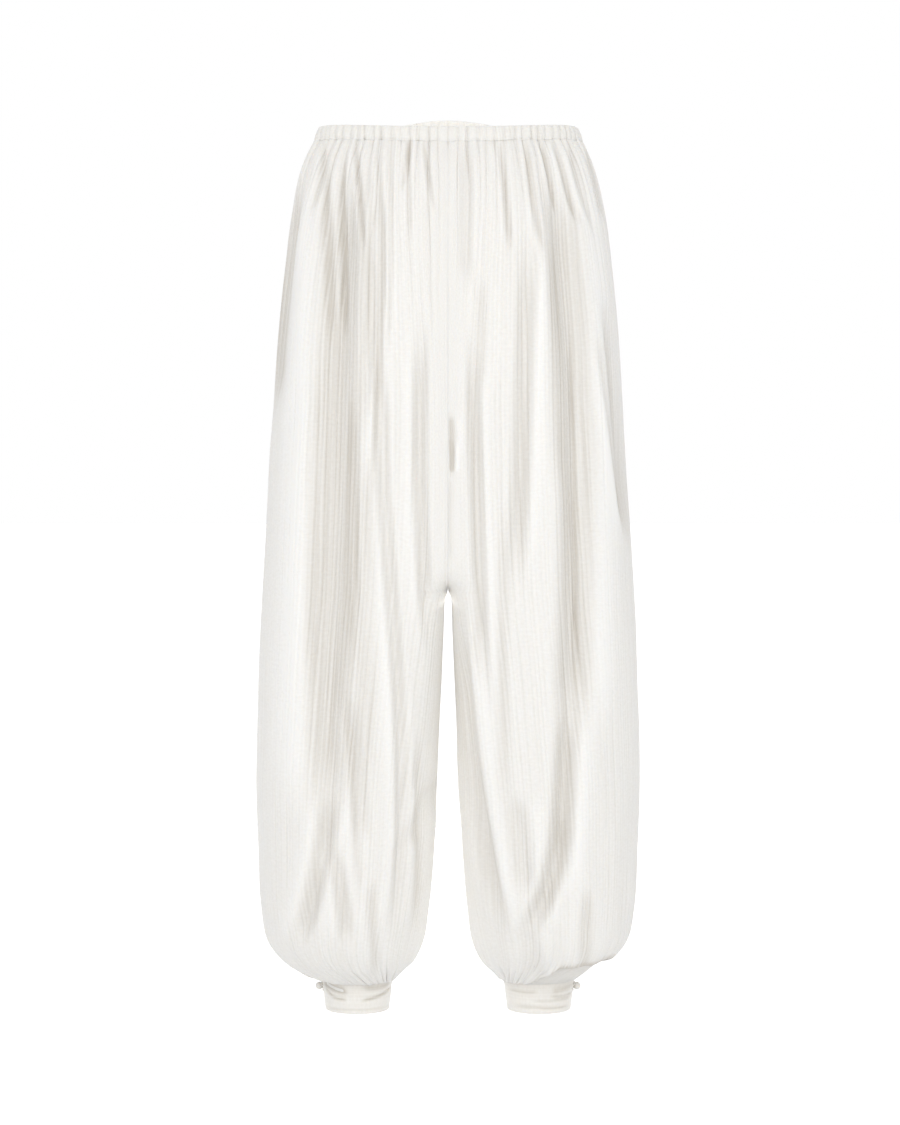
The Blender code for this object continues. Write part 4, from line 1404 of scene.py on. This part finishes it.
def cuff_crease(side, angles, below):
    """How far the creases draw the satin in, at all angles in degrees, so far below its top."""
    depth = np.zeros_like(angles)
    for start, end, *sizes in CUFF_CREASES[side]:
        crease = CuffCrease(start, end, *(size / 1000.0 for size in sizes))
        share = (angles - crease.start) / (crease.end - crease.start)
        fade = smooth_step(share / CREASE_END_FADE) * smooth_step((1.0 - share) / CREASE_END_FADE)
        line = Fold(0.0, 0.0, crease.d1, crease.d2, crease.d3, crease.d4, 0.0, 0.0)
        off = (below - fold_centre(line, np.clip(share, 0.0, 1.0))) / crease.half_width
        steepness = np.where(off > 0.0, CREASE_IS_SHARP_BELOW, CREASE_IS_SOFT_ABOVE)
        depth = depth + crease.depth * fade * np.exp(-off * off * steepness)
    return depth


def build_cuff(side):
    half_slit = CUFF_SLIT / 2.0 / CUFF_TOP_RADIUS
    angles = np.linspace(half_slit, 2.0 * math.pi - half_slit, CUFF_AROUND + 1)
    profile = folded_band(CUFF_ROWS, CUFF_FOLD_FROM, CUFF_HEM_ROWS, CUFF_INNER_ROWS, CUFF_CLOTH)
    rows = []
    valley = []
    for share, inset in profile:
        z = CUFF_TOP_Z - CUFF_HEIGHT * share
        outside = inset == 0.0
        # Painted shade: each crease is painted darker as deep as it draws the satin in, and a painted
        # shadow of the blousing leg darkens the cuff's top
        drawn = cuff_crease(side, np.degrees(angles), CUFF_HEIGHT * share) * outside
        shadow = LEG_SHADOW * math.exp(-share / LEG_SHADOW_FADES) * outside
        valley.append(drawn / CUFF_CREASE_FULL_SHADE + shadow)
        reach = cuff_radius(z) - inset - drawn + CUFF_STANDS_OFF
        x = side * (CUFF_X + reach * np.cos(angles))
        rows.append(np.stack([x, reach * np.sin(angles), np.full_like(x, z)], axis=1))
    rows = np.array(rows)
    index = numbered(rows.shape)
    faces = quads(np.concatenate([index, index[:1]], axis=0))
    faces += [index[:, -1].tolist(), index[::-1, 0].tolist()]
    below = np.arange(len(profile))[:, None] * CUFF_HEIGHT / CUFF_ROWS
    place = flat_places(below, (angles * CUFF_TOP_RADIUS)[None])
    name = f"cuff_{SIDE_WORD[side]}_satin"
    piece = add_piece(name, rows, facing_out(side, faces), cuff_satin, place, valley=valley)
    print(name, triangles(piece), "triangles,", cloth_area(piece), "m2")
    return piece


cuffs = {side: build_cuff(side) for side in SIDE_WORD}

# %% [markdown]
# ## Buttons and loops
# Each cuff closes with one small ball button that is covered in satin, and with a loop of rolled
# satin that is sewn to the cuff's front end. The cloth over a ball is gathered behind it, so the
# ball has faint radial tucks, and the rolled loop has a slight twist.

# %% The buttons
BUTTON_RADIUS = 0.0044
BUTTON_DROP = 0.0130
BUTTON_BEHIND_SLIT = 0.0030
SEAM_GAP = 0.0003
BUTTON_TUCKS = 9
TUCK_DEPTH = 0.030
BUTTON_SIZE = 0.97
BUTTON_BACK = 0.96
BUTTON_AROUND = 40
BUTTON_RINGS = 23


def add_button(side):
    """A covered ball whose tucks meet at its back, against the cuff."""
    z = CUFF_TOP_Z - BUTTON_DROP
    middle = np.array(on_cuff(side, BUTTON_BEHIND_SLIT, z, BUTTON_RADIUS + SEAM_GAP))
    out = np.array([float(side), 0.0, 0.0])
    back = np.array([0.0, 1.0, 0.0])
    up = np.array([0.0, 0.0, 1.0])

    def on_ball(turn, angle):
        tuck = TUCK_DEPTH * (1.0 + math.cos(turn)) * abs(math.sin(angle * BUTTON_TUCKS / 2.0))
        radius = BUTTON_RADIUS * (BUTTON_SIZE + tuck * math.sin(turn))
        level = back * math.cos(angle) + up * math.sin(angle)
        return middle - out * radius * math.cos(turn) + level * radius * math.sin(turn)

    poles = [middle - out * BUTTON_RADIUS * BUTTON_BACK, middle + out * BUTTON_RADIUS * BUTTON_SIZE]
    points, faces = ball(poles, BUTTON_RINGS, BUTTON_AROUND, on_ball)
    return add_piece(f"button_{SIDE_WORD[side]}_ball", points, facing_out(side, faces), button_satin)


# %% The loops
LOOP_RADIUS = 0.0008
LOOP_START = -0.0085
LOOP_START_SPREAD = 0.0022
LOOP_SIDES = 10
LOOP_POINTS = 90
LOOP_NECK = (0.4, 0.80)
LOOP_HUGS = 0.5
LOOP_TURNS_TO = 100.0
LOOP_TURN_POINTS = 9
LOOP_TWISTS = 14
TWIST_DEPTH = 0.05


def loop_path(side):
    """Points along a loop, from the cuff's front end round behind the button and back."""
    z = CUFF_TOP_Z - BUTTON_DROP
    lift = LOOP_RADIUS + SEAM_GAP
    turn = BUTTON_RADIUS + LOOP_RADIUS * LOOP_HUGS
    places = [(LOOP_START, LOOP_START_SPREAD), (LOOP_START * LOOP_NECK[0], turn * LOOP_NECK[1])]
    for angle in np.radians(np.linspace(LOOP_TURNS_TO, -LOOP_TURNS_TO, LOOP_TURN_POINTS)):
        places.append((BUTTON_BEHIND_SLIT + turn * math.cos(angle), turn * math.sin(angle)))
    places += [(along, -spread) for along, spread in reversed(places[:2])]
    known = np.array([on_cuff(side, along, z + spread, lift) for along, spread in places])
    length = run_of(np.linalg.norm(np.diff(known, axis=0), axis=1))
    wanted = np.linspace(0.0, length[-1], LOOP_POINTS)
    return np.stack([smooth_curve(length, known[:, i], wanted) for i in range(3)], axis=1)


def add_loop(side):
    """A rolled satin tube along its path, with a twist."""
    path = loop_path(side)
    along = unit(np.gradient(path, axis=0))
    centre = np.array([side * CUFF_X, 0.0, 0.0])
    out = (path - centre) * np.array([1.0, 1.0, 0.0])
    out = unit(out - along * np.sum(out * along, axis=1, keepdims=True))
    over = np.cross(along, out)
    angle = np.linspace(0.0, 2.0 * math.pi, LOOP_SIDES, endpoint=False)
    twist = np.linspace(0.0, LOOP_TWISTS, LOOP_POINTS)[:, None]
    radius = LOOP_RADIUS * (1.0 - TWIST_DEPTH + TWIST_DEPTH * np.cos(2.0 * angle[None] + twist))
    angle = angle[None, :, None]
    spokes = out[:, None] * np.cos(angle) + over[:, None] * np.sin(angle)
    rings = path[:, None] + radius[:, :, None] * spokes
    index = numbered(rings.shape)
    tube = np.concatenate([index, index[:, :1]], axis=1)
    faces = turned_over(quads(tube))
    faces += [index[0].tolist(), index[-1, ::-1].tolist()]
    return add_piece(f"loop_{SIDE_WORD[side]}_rouleau", rings, faces, button_satin)


buttons = {side: add_button(side) for side in SIDE_WORD}
loops = {side: add_loop(side) for side in SIDE_WORD}
print("buttons and loops:", sum(triangles(o) for o in [*buttons.values(), *loops.values()]), "triangles")

# %% [markdown]
# ## Hiding the solids
# Every piece moves with the object's one body, and the solids of the plain model that the pieces
# replace are hidden. PANEL_CUT lists the flat size and area each panel was cut to before it was
# gathered.

# %% Hiding the solids
PANEL_CUT = {"front": ((0.40, 1.00), 0.345), "back": ((0.41, 1.00), 0.355)}

for side, word in SIDE_WORD.items():
    for half, (flat, area) in PANEL_CUT.items():
        piece = panels[f"{half}_{word}_panel"]
        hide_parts(f"{half}_{word}_leg")
        lap = [underlaps[side]] if half == "back" else []
    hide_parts(f"cuff_{word}")
    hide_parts(f"button_{word}")
    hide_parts(f"loop_{word}")
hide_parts("waistband")
pieces = [*panels.values(), *underlaps.values(), waistband, casing_stitches]
pieces += [*cuffs.values(), *buttons.values(), *loops.values()]
for piece in pieces:
    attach(piece, "root")
print(len(pieces), "pieces,", sum(triangles(piece) for piece in pieces), "triangles in all")
